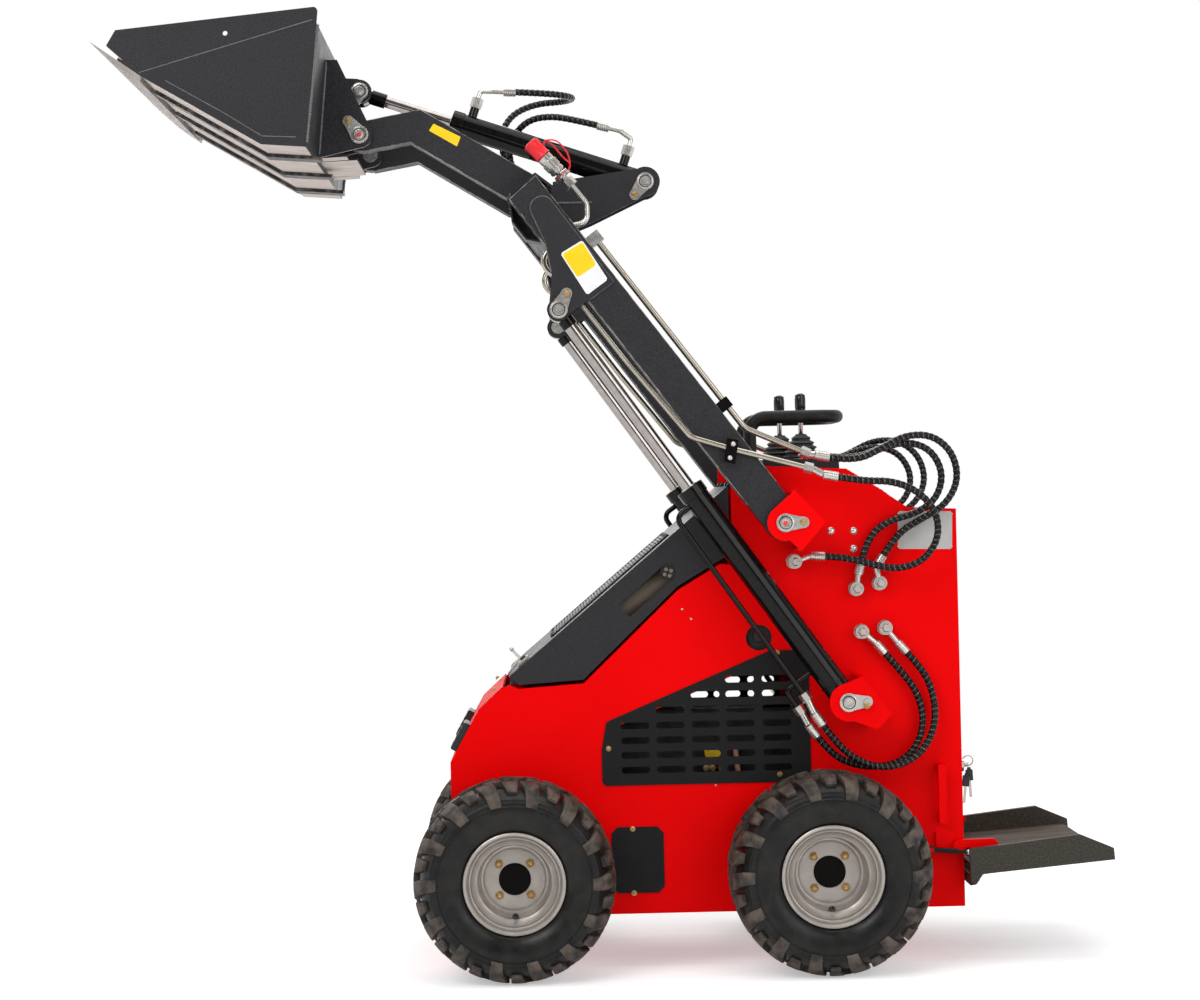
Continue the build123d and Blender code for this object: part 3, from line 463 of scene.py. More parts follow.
def tubeAlong(bm, points, radiusAt, steps=14, index=0, ribs=None, capped=True):
    # a round tube along points, ribs being a dictionary with a helical ridge's pitch, height and crest
    rings = []
    crests = []
    side = None
    travelled = 0.0
    for i, here in enumerate(points):
        ahead = points[min(i + 1, len(points) - 1)] - points[max(i - 1, 0)]
        ahead.normalize()
        if side is None:
            side = ahead.orthogonal().normalized()
        side = (side - ahead * side.dot(ahead)).normalized()
        up = ahead.cross(side)
        if i:
            travelled += (here - points[i - 1]).length
        ring = []
        radius = radiusAt(travelled)
        for angle in circle(steps):
            depth = 0.0
            if ribs:
                wave = 0.5 + 0.5 * math.cos(angle - 2 * math.pi * travelled / ribs["pitch"])
                depth = ribs["rib"] * (wave ** 0.6 - 1)
                crests.append(wave > ribs["crest"])
            outward = side * math.cos(angle) + up * math.sin(angle)
            ring.append(bm.verts.new(here + outward * (radius + depth)))
        rings.append(ring)
    skin(bm, rings, index, capped, crests)


def bar(bm, start, end, radius, index=0, steps=14):
    tubeAlong(bm, [start, end], lambda s: radius / 1000, steps, index)


def smoothLine(name, route):
    # the points that a NURBS line through a route's control points passes
    data = bpy.data.curves.new(name, "CURVE")
    data.dimensions = "3D"
    data.resolution_u = 16
    line = data.splines.new("NURBS")
    line.points.add(len(route) - 1)
    for point, spot in zip(line.points, route):
        point.co = (*at(*spot), 1)
    line.order_u = 3
    line.use_endpoint_u = True
    holder = addObject(name, data)
    graph = bpy.context.evaluated_depsgraph_get()
    mesh = bpy.data.meshes.new_from_object(holder.evaluated_get(graph))
    points = [v.co.copy() for v in mesh.vertices]
    bpy.data.objects.remove(holder)
    bpy.data.curves.remove(data)
    bpy.data.meshes.remove(mesh)
    return points


def evenly(points, step):
    # the same line with its points a fixed distance apart
    lengths = [0.0]
    for a, b in zip(points, points[1:]):
        lengths.append(lengths[-1] + (b - a).length)
    count = max(2, round(lengths[-1] / step))
    result = []
    k = 0
    for i in range(count + 1):
        wanted = lengths[-1] * i / count
        while k < len(points) - 2 and lengths[k + 1] < wanted:
            k += 1
        span = max(lengths[k + 1] - lengths[k], 1e-9)
        result.append(points[k].lerp(points[k + 1], min(1, (wanted - lengths[k]) / span)))
    return result, lengths[-1]


# hydraulic hoses with their spiral guards
# crest is the share of the guard's ripple above which faces take the lighter ridge finish, a painted
# highlight
hoses = {"radius": 0.0084, "pitch": 0.0124, "rib": 0.0011, "crest": 0.93, "step": 0.0016}
# name, the bodies at the two ends, whether the right side has one too, and X, Y, Z places on the left
hoseTable = [
    ("boom_hose_upper", "boom", "chassis", True,
        [(-377, 348, 1166), (-436, 346, 1155), (-500, 334, 1184), (-556, 322, 1213), (-620, 307, 1211),
         (-667, 292, 1170), (-680, 280, 1107), (-650, 271, 1051), (-594, 265, 1020), (-538, 262, 988),
         (-505, 260, 937)]),
    ("boom_hose_inner", "boom", "chassis", True,
        [(-377, 328, 1168), (-437, 325, 1160), (-500, 314, 1184), (-562, 303, 1199), (-618, 291, 1178),
         (-646, 279, 1122), (-629, 271, 1064), (-580, 265, 1032), (-518, 261, 1018), (-470, 260, 980),
         (-455, 260, 925)]),
    ("boom_hose_lower", "boom", "chassis", True,
        [(-392, 378, 1121), (-450, 374, 1110), (-518, 367, 1109), (-580, 355, 1083), (-621, 340, 1033),
         (-625, 323, 973), (-590, 307, 923), (-530, 296, 906), (-470, 288, 921), (-420, 283, 936),
         (-368, 280, 940)]),
    ("lift_hose_outer", "lift_barrel", "chassis", True,
        [(-349, 346, 561), (-384, 342, 511), (-430, 330, 474), (-488, 315, 455), (-550, 301, 466),
         (-598, 286, 508), (-617, 275, 570), (-608, 267, 635), (-585, 263, 680), (-553, 262, 716)]),
    ("lift_hose_inner", "lift_barrel", "chassis", True,
        [(-337, 328, 534), (-372, 318, 488), (-424, 306, 463), (-484, 293, 455), (-542, 281, 470),
         (-580, 272, 514), (-589, 266, 572), (-574, 263, 626), (-540, 262, 672), (-503, 262, 715)]),
    ("tilt_hose_front", "tilt_tube", "boom", False,
        [(317, 0, 2059), (262, -2, 2056), (206, -20, 2053), (173, -82, 2053), (202, -148, 2054),
         (268, -170, 2054), (328, -146, 2026), (356, -116, 1974), (350, -102, 1912), (318, -100, 1858)]),
    ("tilt_hose_rear", "tilt_tube", "boom", False,
        [(121, 0, 1975), (176, -4, 1990), (232, -14, 2002), (288, -34, 1997), (328, -54, 1958),
         (338, -62, 1904), (318, -62, 1858)]),
]


def mirrored(points, side):
    return [(x, side * y, z) for x, y, z in points]


def makeHose(name, route):
    line, length = evenly(smoothLine(name, route), hoses["step"])
    bm = bmesh.new()
    tubeAlong(bm, line, lambda s: hoses["radius"], ribs=hoses)
    piece = finish(bm, name + "_guard", ["hose", "ridge"], None, 60)
    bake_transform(piece)
    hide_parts(name)


def makeHoses():
    for name, near, far, paired, route in hoseTable:
        if not paired:
            makeHose(name, route)
            continue
        for sideName, side in sideNames:
            makeHose(f"{name}_{sideName}", mirrored(route, side))


makeHoses()
print("hoses ready")


# wheels
wheelData = {"base": 356, "height": 228.5, "track": 357}
tyreData = {"pitches": 14, "lugHeight": 13.0, "steps": 112, "slope": 1.6, "root": -1.5, "centre": 0.22}
tyreLine = [(215.5, 0), (215.5, 30), (214.8, 52), (211, 70), (205, 84), (198, 94), (192.5, 99.2),
    (191, 101.4), (189.2, 101.2), (187.5, 101.6), (185.5, 103.4), (183.5, 103.0), (181, 102.8),
    (176.6, 104.0), (175.2, 105.6), (173.4, 105.4), (172.4, 103.6), (165, 104.2), (154, 103.8),
    (142, 101.8), (131, 98.2), (123, 93.6), (118.4, 89), (116, 85.4), (105, 84)]
# rows of a lug: distance round the profile, angle, half width and shortfall in height
shoulderLug = [(50, -3.6, 5.0, 0), (66, -2.4, 4.8, 0), (80, -1.2, 4.6, 0.5), (94, -0.2, 4.4, 2),
               (106, 0.4, 4.3, 4.5), (117, 0.8, 4.2, 7), (125, 1.0, 4.1, 8.8)]
shortLug = [(54, -1.6, 4.4, 0), (68, -1.0, 4.2, 0), (82, -0.4, 3.6, 1.5), (92, 0, 3.2, 5)]
centreLug = [(5, -6.5, 4.2, 0), (20, -4.6, 4.4, 0), (34, -2.8, 4.4, 0), (46, -1.4, 4.2, 0.4)]
# shares of the half width and of the slope, across a lug
lugShares = [(-1, 1), (-0.82, 0), (0, 0), (0.82, 0), (1, 1)]


def treadPlace(s, angle, height, side):
    # a place on the tyre: distance round its profile from the crown, angle about the axle, height above it
    walked = 0.0
    for (r1, y1), (r2, y2) in zip(tyreLine, tyreLine[1:]):
        length = math.hypot(r2 - r1, y2 - y1)
        if walked + length >= s:
            t = (s - walked) / length
            radius = r1 + (r2 - r1) * t + (y2 - y1) / length * height
            offset = y1 + (y2 - y1) * t - (r2 - r1) / length * height
            return Vector((radius * math.cos(angle), side * offset, radius * math.sin(angle))) / 1000
        walked += length
    return None


def rimOf(rows):
    # the outer places of a grid five wide, in order round it
    near = list(rows[0]) + [row[4] for row in rows[1:]]
    return near + list(rows[-1][3::-1]) + [row[0] for row in rows[-2:0:-1]]


def addLug(bm, middle, side, start, rows):
    grid = []
    for s, turn, half, short in rows:
        height = tyreData["lugHeight"] - short
        grid.append([(s, math.radians(start + turn + share * half), height - tyreData["slope"] * drop)
                     for share, drop in lugShares])

    def vertex(s, angle, height):
        return bm.verts.new(middle + treadPlace(s, angle, height, side))

    top = [[vertex(*p) for p in line] for line in grid]
    for a, b in zip(top, top[1:]):
        for i in range(4):
            bm.faces.new([a[i], a[i + 1], b[i + 1], b[i]]).material_index = 1
    low = [vertex(s, angle, tyreData["root"]) for s, angle, height in rimOf(grid)]
    rim = rimOf(top)
    for i in range(len(rim)):
        j = (i + 1) % len(rim)
        bm.faces.new([rim[i], rim[j], low[j], low[i]]).material_index = 1


def makeTyre(end, x, sideName, side):
    middle = at(x, side * wheelData["track"], wheelData["height"])
    bm = bmesh.new()
    profile = tyreLine[::-1] + [(r, -y) for r, y in tyreLine[1:]]
    axle = Matrix.Translation(middle) @ Matrix.Rotation(-math.pi / 2, 4, "X")
    turned(bm, axle, profile, tyreData["steps"], closed=True)
    pitch = 360 / tyreData["pitches"]
    for outward in sides:
        for i in range(tyreData["pitches"]):
            start = i * pitch + (0 if outward > 0 else pitch / 2)
            addLug(bm, middle, outward, start, shoulderLug)
            addLug(bm, middle, outward, start + pitch / 2, shortLug)
            addLug(bm, middle, outward, start + pitch * tyreData["centre"], centreLug)
    name = f"tyre_{end}_{sideName}"
    piece = finish(bm, name + "_tread", ["rubber", "tread"], f"wheel_{end}_{sideName}", 32)
    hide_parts(name)


rimLine = [(106, 80), (112, 85.2), (114.8, 86.2), (115, 91), (112.5, 92.4), (109, 92), (106.5, 89.5),
    (104.4, 84), (103.6, 78), (101.4, 75.2), (99.6, 74.6), (98.4, 70), (97.8, 62), (92, 54), (84, 49),
    (81.5, 44), (80.4, 10), (79, 4), (76, 1.2), (72, 0.4), (70, 1.4), (66, 1.8), (40, 1.6), (20.5, 1.6),
    (20.5, -6), (66, -6), (84, -2), (85, 40), (96, 52), (102, 66), (104, 76)]
innerRim = [(79, -2), (85, -8), (85, -44), (96, -56), (102, -68), (104, -80), (112, -85.2), (115, -88),
    (112, -92), (106, -90), (99, -72), (92, -58), (81, -46), (80, -10), (76, -3)]
hubCap = [(0, 5.4), (3, 5.4), (3.4, 6.2), (34, 6.2), (36, 5), (36.4, 2), (0, 2)]
# profile and steps of a wheel's stud, nut and washer
wheelNut = [([(0, 15), (3.6, 15), (4.2, 14.2), (4.2, 10), (0, 10)], 16),
            ([(0, 10.6), (6, 10.6), (8, 9.4), (8.6, 8.4), (8.6, 1.5), (0, 1.5)], 6),
            ([(0, 3.6), (9.6, 3.4), (10.4, 1.4), (0, 1.4)], 24)]
nutCircle = {"count": 4, "radius": 50}
valve = {"line": [(0, 66), (3.8, 65.6), (4.6, 63), (4.6, 54), (6, 51), (7, 45), (8.2, 40), (0, 38)],
         "drop": 0.089, "lean": 0.25}


def makeRim(end, x, sideName, side):
    middle = at(x, side * wheelData["track"], wheelData["height"])
    outward = outFrom(x, wheelData["track"], wheelData["height"], side)
    bm = bmesh.new()
    turned(bm, outward, rimLine, 96, closed=True)
    turned(bm, outward, innerRim, 64, closed=True)
    turned(bm, outward, hubCap, 48, index=3)
    for angle in circle(nutCircle["count"], math.pi / 4):
        spot = around(outward, angle, nutCircle["radius"])
        for profile, steps in wheelNut:
            turned(bm, facing(spot, (0, side, 0)), profile, steps, index=1)
    foot = middle - Vector((0, 0, valve["drop"]))
    turned(bm, facing(foot, (0, side, valve["lean"])), valve["line"], 20, index=2)
    name = f"rim_{end}_{sideName}"
    materials = ["wheel", "brass", "knob", "hub"]
    piece = finish(bm, name + "_disc", materials, f"wheel_{end}_{sideName}", 28)
    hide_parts(name)


def makeWheels():
    for end, x in (("front", wheelData["base"]), ("rear", -wheelData["base"])):
        for sideName, side in sideNames:
            makeTyre(end, x, sideName, side)
            makeRim(end, x, sideName, side)


makeWheels()
print("wheels ready")


# bolts and rivets of the covers, panels and nose
def addBolt(bm, place, direction, across, high, index=0):
    # a washer, a hexagonal head and the end of a thread, their radii as shares of the width across
    local = facing(place, direction)
    for profile, steps in (
            ([(0, 1.8), (0.66, 1.7), (0.7, 1.2), (0.7, 0), (0, 0)], 24),
            ([(0, high), (0.4, high), (0.53, high - 0.9), (0.56, high - 1.8), (0.56, 1.5), (0, 1.5)], 6),
            ([(0, high + 1.4), (0.2, high + 1.2), (0.25, high), (0, high - 0.2)], 16)):
        turned(bm, local, [(across * share, height) for share, height in profile], steps, index=index)


def addDome(bm, place, direction, radius, height, index=0):
    shares = [(0, 1), (0.45, 0.93), (0.8, 0.62), (1, 0.15), (1, 0), (0, 0)]
    turned(bm, facing(place, direction), [(radius * r, height * h) for r, h in shares], 20, index=index)


boltPlaces = {
    "cover": [(135, 508), (-258, 720), (-258, 440), (84, 322), (84, 174)], "coverFace": 243,
    "panel": [(-389, 997), (-441, 996), (-440, 955)],
    "rivet": [(-42, 825), (-62, 802), (-110, 418)],
    "nose": (395, 647), "noseAcross": 205, "noseSlope": (0.67, 0, 0.74),
}


def makeBolts():
    bm = bmesh.new()
    for side in sides:
        out = (0, side, 0)
        for x, z in boltPlaces["cover"]:
            addBolt(bm, at(x, side * boltPlaces["coverFace"], z), out, 9, 4.4)
        for x, z in boltPlaces["panel"]:
            addDome(bm, at(x, side * bodyHalf, z), out, 9, 5, 1)
        for x, z in boltPlaces["rivet"]:
            addDome(bm, at(x, side * bodyHalf, z), out, 2.6, 1.2, 1)
    x, z = boltPlaces["nose"]
    for y in both(boltPlaces["noseAcross"]):
        addBolt(bm, at(x, y, z), boltPlaces["noseSlope"], 9, 5)
    finish(bm, "cover_bolts", ["brass", "zinc"], "chassis", 30)


# pin ends: a bolt in each lock plate, and on each pin a dark ring that is painted shade of the gap round it
pinEnds = [
    {"body": "chassis", "pin": (-273, 1020), "toward": 180, "y": 390, "dab": True},
    {"body": "chassis", "pin": (-406, 612), "toward": 190, "y": 390},
    {"body": "boom", "pin": (227, 1513), "toward": 118, "y": 379},
    {"body": "bucket", "pin": (676, 1936), "toward": 52, "y": 240, "dab": True},
    {"body": "boom", "pin": (13, 1834), "toward": -51, "y": 50, "single": True},
    {"body": "bucket", "pin": (686, 2064), "toward": -60, "y": 45, "single": True},
]
pinFace = {
    "line": [(0, 0.8), (4, 0.8), (4.4, 2.2), (9.5, 2.4), (10.5, 1.2), (14.5, 0.9), (15.5, 2.2), (18.4, 1.8),
             (19, 0), (0, 0)],
    # the dark ring at the pin's edge is painted shade of the gap
    "groove": [(12.9, 1.0), (14.8, 1.0), (14.8, 1.3), (12.9, 1.5)],
    "boltReach": 40, "boltRise": 5, "dabRise": 2,
}


def makePinEnds():
    for body in ("chassis", "boom", "bucket"):
        bm = bmesh.new()
        for pin in [pin for pin in pinEnds if pin["body"] == body]:
            angle = math.radians(pin["toward"])
            x, z = pin["pin"]
            for side in (1,) if pin.get("single") else sides:
                y = side * pin["y"]
                normal = (0, side, 0)
                local = outFrom(x, pin["y"], z, side)
                turned(bm, local, pinFace["line"], 32)
                turned(bm, local, pinFace["groove"], 32, closed=True, index=3)
                along = Vector((math.cos(angle), 0, math.sin(angle))) * pinFace["boltReach"] / 1000
                addBolt(bm, at(x, y + side * pinFace["boltRise"], z) + along, normal, 11, 3.5, 1)
                if pin.get("dab"):
                    addDome(bm, at(x + 1, y + side * pinFace["dabRise"], z - 1), normal, 5.5, 1.0, 2)
        finish(bm, f"pin_ends_{body}", ["zinc", "brass", "dab", "iron"], body, 30)


# films: blank warning panels on the arms, blank rating plate on the side
armFilm = {"corners": [(220, 1639), (170, 1668), (114, 1578), (162, 1544)], "y": 374.05, "split": 0.6,
           "border": 0.035, "gap": 0.06}
frontFilm = {"corners": [(505, 1959), (443, 1927), (452, 1905), (516, 1943)], "y": 223.05}
ratingPlate = {"corners": [(-544, 1039), (-669, 1036), (-667, 949), (-542, 952)], "y": 240.05,
               "rivetY": 240.5, "scale": (0.985, 0.86), "middle": (-600, 994)}


def between(a, b, share):
    return (a[0] + (b[0] - a[0]) * share, a[1] + (b[1] - a[1]) * share)


def addFilm(bm, corners, y, side, thick, index, cut=4):
    outline = []
    for i, (x, z) in enumerate(corners):
        # each corner is cut by a small step toward its neighbours
        for nx, nz in (corners[i - 1], corners[(i + 1) % len(corners)]):
            outline.append(between((x, z), (nx, nz), cut / math.hypot(nx - x, nz - z)))
    low, high = sorted((side * y, side * (y + thick)))
    prism(bm, outline, low, high, index)


def makeFilms():
    bm = bmesh.new()
    a, b, c, d = armFilm["corners"]
    border, split, gap = armFilm["border"], armFilm["split"], armFilm["gap"]
    yellow = [between(a, c, border), between(b, d, border), between(b, c, split), between(a, d, split)]
    yellow[2] = between(yellow[2], yellow[3], gap)
    yellow[3] = between(yellow[3], yellow[2], gap)
    for side in sides:
        addFilm(bm, armFilm["corners"], armFilm["y"], side, 0.3, 1)
        addFilm(bm, yellow, armFilm["y"], side, 0.5, 0)
        addFilm(bm, frontFilm["corners"], frontFilm["y"], side, 0.3, 0, 1.2)
    finish(bm, "arm_films", ["yellow", "white"], "boom", 30)
    bm = bmesh.new()
    addFilm(bm, ratingPlate["corners"], ratingPlate["y"], 1, 0.6, 0)
    (scaleX, scaleZ), (midX, midZ) = ratingPlate["scale"], ratingPlate["middle"]
    for x, z in ratingPlate["corners"]:
        rivet = at(midX + (x - midX) * scaleX, ratingPlate["rivetY"], midZ + (z - midZ) * scaleZ)
        addDome(bm, rivet, (0, 1, 0), 2.0, 1.0, 1)
    finish(bm, "rating_plate", ["plate", "zinc"], "chassis", 30)


# weld beads: a line of small overlapping ripples, a lighter grey than the paint about them as a painted
# highlight
beads = {"arm": 3.2, "thin": 2.24, "bucket": 3.6, "bracket": 2.6, "edge": 1.5, "step": 0.0022,
         "ripple": 0.0066, "patch": 0.006, "draws": 400}


def arc(centre, radii, start, end, steps):
    # X, Z places on part of an ellipse, between two angles in degrees
    angles = [math.radians(start + (end - start) * i / steps) for i in range(steps + 1)]
    return [(centre[0] + radii[0] * math.cos(a), centre[1] + radii[1] * math.sin(a)) for a in angles]


# each line of X, Z places, its distance from the centre line and its radius
boomBeads = [
    (arc((259, 1743), (26, 26), 143, -37, 12) + [(252, 1664), (240, 1598)], 368.6, "arm"),
    ([(238, 1758.5), (101, 1573), (158, 1533)], 368.4, "thin"),
    ([(275, 1831), (338, 1783)], 223, "arm"),
    ([(230, 1706), (236, 1798)], 45, "arm"),
    ([(141, 1787), (230, 1787)], 45.2, "bracket"),
]
bucketBeads = [
    ([(742, 2140), (758, 2000), (772, 1882)], 540, "bucket"),
    ([(1080, 2025), (953, 1951), (870, 1898), (795, 1894)], 542.6, "edge"),
    ([(753, 2151), (1137, 2043.6)], 542.6, "edge"),
    ([(749, 2106), (770, 1892)], 163.5, "bucket"),
    ([(749, 2106), (770, 1892)], 234.5, "bucket"),
]


def addBead(bm, points, radius):
    line = evenly([at(*p) for p in points], beads["step"])[0]
    noise = [random.uniform(0.8, 1.2) for _ in range(beads["draws"])]

    def width(s):
        wave = 0.5 + 0.5 * math.cos(2 * math.pi * s / beads["ripple"])
        return radius / 1000 * (0.78 + 0.3 * wave) * noise[int(s / beads["patch"]) % beads["draws"]]

    tubeAlong(bm, line, width, 8)


def makeBeads():
    for body, table in (("boom", boomBeads), ("bucket", bucketBeads)):
        bm = bmesh.new()
        for side in sides:
            for line, y, size in table:
                addBead(bm, [(x, side * y, z) for x, z in line], beads[size])
        finish(bm, body + "_welds", ["weld"], body, 60)


# rounded edges of the bent and welded arms, carrying a painted highlight: X, Z places and distances from the
# centre line
edgeRadius = 0.9
armEdges = [
    ([(-255, 1113.7), (272, 1817), (332, 1765), (-190, 1061.7)], (368, 308)),
    ([(273, 1832), (535, 1992), (661, 1969), (669, 1899), (560, 1918), (339, 1782)], (223, 167)),
    ([(332, 1786), (329, 1767), (274, 1694), (252, 1675)], (302,)),
]


def makeEdges():
    bm = bmesh.new()
    for line, across in armEdges:
        for y in [y for distance in across for y in both(distance)]:
            for (x1, z1), (x2, z2) in zip(line, line[1:]):
                bar(bm, at(x1, y, z1), at(x2, y, z2), edgeRadius, 0, 8)
    finish(bm, "arm_edges", ["edge"], "boom", 60)


# covers for the rods' painted ends and the barrels' glands; a ring is from, to, inner and outer radius, index
cylinders = [
    {"foot": (-406, 612), "eye": (227, 1513), "across": both(338),
     "eyeRing": (20.3, 16.2, 26.5), "neck": (1055.1, 1077.1, 15, 19, 0),
     "rod": ("lift_rod_eyes", "lift_rod"), "barrel": ("lift_glands", "lift_barrel"),
     "glands": [(576, 602, 29, 32.5, 0), (598, 605, 15.2, 19.5, 1), (48, 54, 29.5, 31.2, 0)]},
    {"foot": (13, 1834), "eye": (686, 2064), "across": (0,),
     "eyeRing": (22.3, 18.2, 28.5), "neck": (647.2, 685.2, 14, 17.5, 0),
     "rod": ("tilt_rod_eye", "tilt_shaft"), "barrel": ("tilt_gland", "tilt_tube"),
     "glands": [(456, 484, 28, 31.5, 0), (480, 487, 14.2, 18.5, 1)]},
]


def addCollar(bm, local, inner, outer, wide, steps, index=0):
    profile = [(inner, 0), (outer - 1, 0), (outer, 1), (outer, wide - 1), (outer - 1, wide), (inner, wide)]
    turned(bm, local, profile, steps, closed=True, index=index)


def addRing(bm, cylinder, y, ring):
    # a collar round a cylinder's line, from one distance along it to another
    low, high, inner, outer, index = ring
    foot, eye = (at(x, y, z) for x, z in (cylinder["foot"], cylinder["eye"]))
    along = (eye - foot).normalized()
    addCollar(bm, facing(foot + along * low / 1000, along), inner, outer, high - low, 36, index)


def makeRodEyes(cylinder):
    bm = bmesh.new()
    x, z = cylinder["eye"]
    half, inner, outer = cylinder["eyeRing"]
    for y in cylinder["across"]:
        addCollar(bm, outFrom(x, y - half, z), inner, outer, 2 * half, 40)
        addRing(bm, cylinder, y, cylinder["neck"])
    name, body = cylinder["rod"]
    finish(bm, name, ["black"], body, 40)


def makeGlands(cylinder):
    bm = bmesh.new()
    for y in cylinder["across"]:
        for ring in cylinder["glands"]:
            addRing(bm, cylinder, y, ring)
    name, body = cylinder["barrel"]
    finish(bm, name, ["black", "zinc"], body, 40)


def makeCylinderTrim():
    for make in (makeRodEyes, makeGlands):
        for cylinder in cylinders:
            make(cylinder)


# hose ends: a crimped sleeve just before each end, over the plain ferrule, and the banjo bolts
crimp = {"radius": 10.5, "length": 24, "grooves": 5}
banjo = {
    "places": [(-497, 875, 260), (-443, 863, 260), (-301, 929, 280), (-507, 772, 262), (-453, 764, 262)],
    "bolt": [(0, 9), (7.5, 9), (9.6, 7.6), (10.6, 6), (10.6, 1), (0, 1)],
    "washer": [(10, 0.2), (12.4, 0.2), (12.8, 0.8), (12.4, 1.4), (10, 1.4)],
    "base": [(9, 0), (17.5, 0), (18, 1), (17, 3.2), (9, 3.2)], "rise": 8,
}


def addCrimp(bm, end, second):
    radius, length, grooves = crimp["radius"], crimp["length"], crimp["grooves"]
    high, deep = radius + 0.6, radius + 0.1
    profile = [(radius * 0.8, -1.5), (radius, -1.5), (high, -0.5)]
    for i in range(grooves):
        low = i * length / grooves
        profile += [(high, low + 0.6), (deep, low + 1.4), (deep, low + 2.2), (high, low + 3)]
    profile += [(high, length), (radius - 1, length + 1), (radius * 0.8, length + 1)]
    turned(bm, facing(at(*end), Vector(end) - Vector(second)), profile, 24, closed=True)


def addBanjo(bm, x, z, y, side):
    local = outFrom(x, y + banjo["rise"], z, side)
    turned(bm, local, banjo["bolt"], 6)
    turned(bm, local, banjo["washer"], 28, closed=True)
    turned(bm, outFrom(x, bodyHalf, z, side), banjo["base"], 32, closed=True)


def makeHoseEnds():
    for body in ("boom", "chassis", "lift_barrel", "tilt_tube"):
        bm = bmesh.new()
        for _, near, far, paired, route in hoseTable:
            if body not in (near, far):
                continue
            ends = route[:2] if body == near else route[:-3:-1]
            for side in sides if paired else (1,):
                addCrimp(bm, *mirrored(ends, side))
        if body == "chassis":
            for x, z, y in banjo["places"]:
                for side in sides:
                    addBanjo(bm, x, z, y, side)
        finish(bm, f"hose_sleeves_{body}", ["zinc"], body, 30)


# quick coupler: knurled sleeve, dust cap with its moulded strap
coupler = {
    "nut": (189, 1801), "cap": (286, 1905), "y": 280,
    "sleeve": [(14, 46), (17, 46), (17.6, 47), (17.6, 52), (16.6, 53), (16.6, 57), (17.8, 58), (17.8, 76),
               (16.6, 77), (16.2, 80), (17, 81), (17, 92), (15.5, 94), (14, 94)],
    "hexagon": [(11, 33), (19, 33), (20.5, 34.5), (20.5, 38), (19, 40), (11, 40)],
    "knurls": 28, "knurl": (1.4, 1.6, 17), "knurlPlace": (17.8, 67),
    "dustCap": [(16.4, 94), (19, 94), (19.6, 96), (18.2, 100), (18.2, 128), (19.4, 132), (18.4, 137),
                (13, 139.4), (0, 139.4), (0, 138.2), (16.4, 137)],
    "strapRing": [(14, 28), (18.6, 28), (19, 29), (19, 32.4), (18.6, 33.4), (14, 33.4)],
    "straps": [(46, 12), (34, -8)], "strapRadius": 0.0019,
}


def through(knots, count=10):
    # a smooth line through knots, with so many points from each to the next
    line = []
    for i, (a, b) in enumerate(zip(knots, knots[1:])):
        leaving = (b - knots[max(i - 1, 0)]) / 2
        arriving = (knots[min(i + 2, len(knots) - 1)] - a) / 2
        for k in range(count):
            t = k / count
            line.append(a * (2 * t ** 3 - 3 * t ** 2 + 1) + leaving * (t ** 3 - 2 * t ** 2 + t)
                        + b * (3 * t ** 2 - 2 * t ** 3) + arriving * (t ** 3 - t ** 2))
    return line + [knots[-1]]


def makeCoupler():
    nut, cap = (at(x, coupler["y"], z) for x, z in (coupler["nut"], coupler["cap"]))
    local = facing(nut, cap - nut)
    bm = bmesh.new()
    turned(bm, local, coupler["sleeve"], 40, closed=True)
    turned(bm, local, coupler["hexagon"], 6, closed=True)
    for angle in circle(coupler["knurls"]):
        spot = Matrix.Translation(around(local, angle, *coupler["knurlPlace"]))
        turn = local.to_3x3().to_4x4() @ Matrix.Rotation(angle, 4, "Z")
        slab(bm, spot @ turn, coupler["knurl"], 0, 0.3)
    finish(bm, "coupler_sleeve", ["zinc"], "boom", 28)
    bm = bmesh.new()
    turned(bm, local, coupler["dustCap"], 40)
    turned(bm, local, coupler["strapRing"], 32, closed=True)
    for bulge, sideways in coupler["straps"]:
        route = [(0, 17, 112), (sideways * 0.4, 30, 116), (sideways, bulge, 96), (sideways, bulge - 2, 62),
                 (sideways * 0.5, 32, 40), (0, 18, 31)]
        knots = [local @ (Vector(p) / 1000) for p in route]
        tubeAlong(bm, through(knots), lambda s: coupler["strapRadius"], 8)
    finish(bm, "coupler_cap_trim", ["cap"], "boom", 35)


# levers: bellows, chrome sticks and rounded knobs, each a profile and its steps
levers = {
    "places": [(-341, 60), (-300, -50)], "deck": 1168,
    "parts": [
        ([(30, 1), (42, 1), (43, 3), (42, 6.5), (36, 8), (35.5, 10), (40, 13), (40.5, 15), (39, 17),
          (32.5, 19), (32, 21), (36.5, 24), (37, 26), (35, 28), (28.5, 30), (28, 32), (31, 35), (31, 37),
          (29, 39), (22, 42), (21.5, 44), (23, 47), (22, 49), (14, 54), (13, 57), (5.5, 58)], 40),
        ([(4.8, 56), (5.6, 57), (5.6, 114), (4.8, 114)], 20),
        ([(5, 112), (9, 112), (11, 114), (12.6, 119), (12.8, 140), (12.2, 146), (9.5, 151), (5, 153.4),
          (0, 154)], 32),
    ],
}


def makeLevers():
    bm = bmesh.new()
    for x, y in levers["places"]:
        local = facing(at(x, y, levers["deck"]), (0, 0, 1))
        for index, (profile, steps) in enumerate(levers["parts"]):
            turned(bm, local, profile, steps, index=index)
    finish(bm, "lever_trim", ["boot", "chrome", "knob"], "chassis", 40)


# hood latch: ball stud, its plates and a wire bail
latch = {"y": 190, "ball": (354, 739), "stem": (335, 718), "slope": 39.8, "bail": ((340, 712), (362, 684)),
         "ballLine": [(0, -5.2), (3, -4.4), (5, -1.6), (5, 1.6), (3, 4.4), (0, 5.2)], "bailHalf": 9,
         "plates": [((328, 711), (34, 26, 8)), ((326, 716), (14, 18, 12))]}


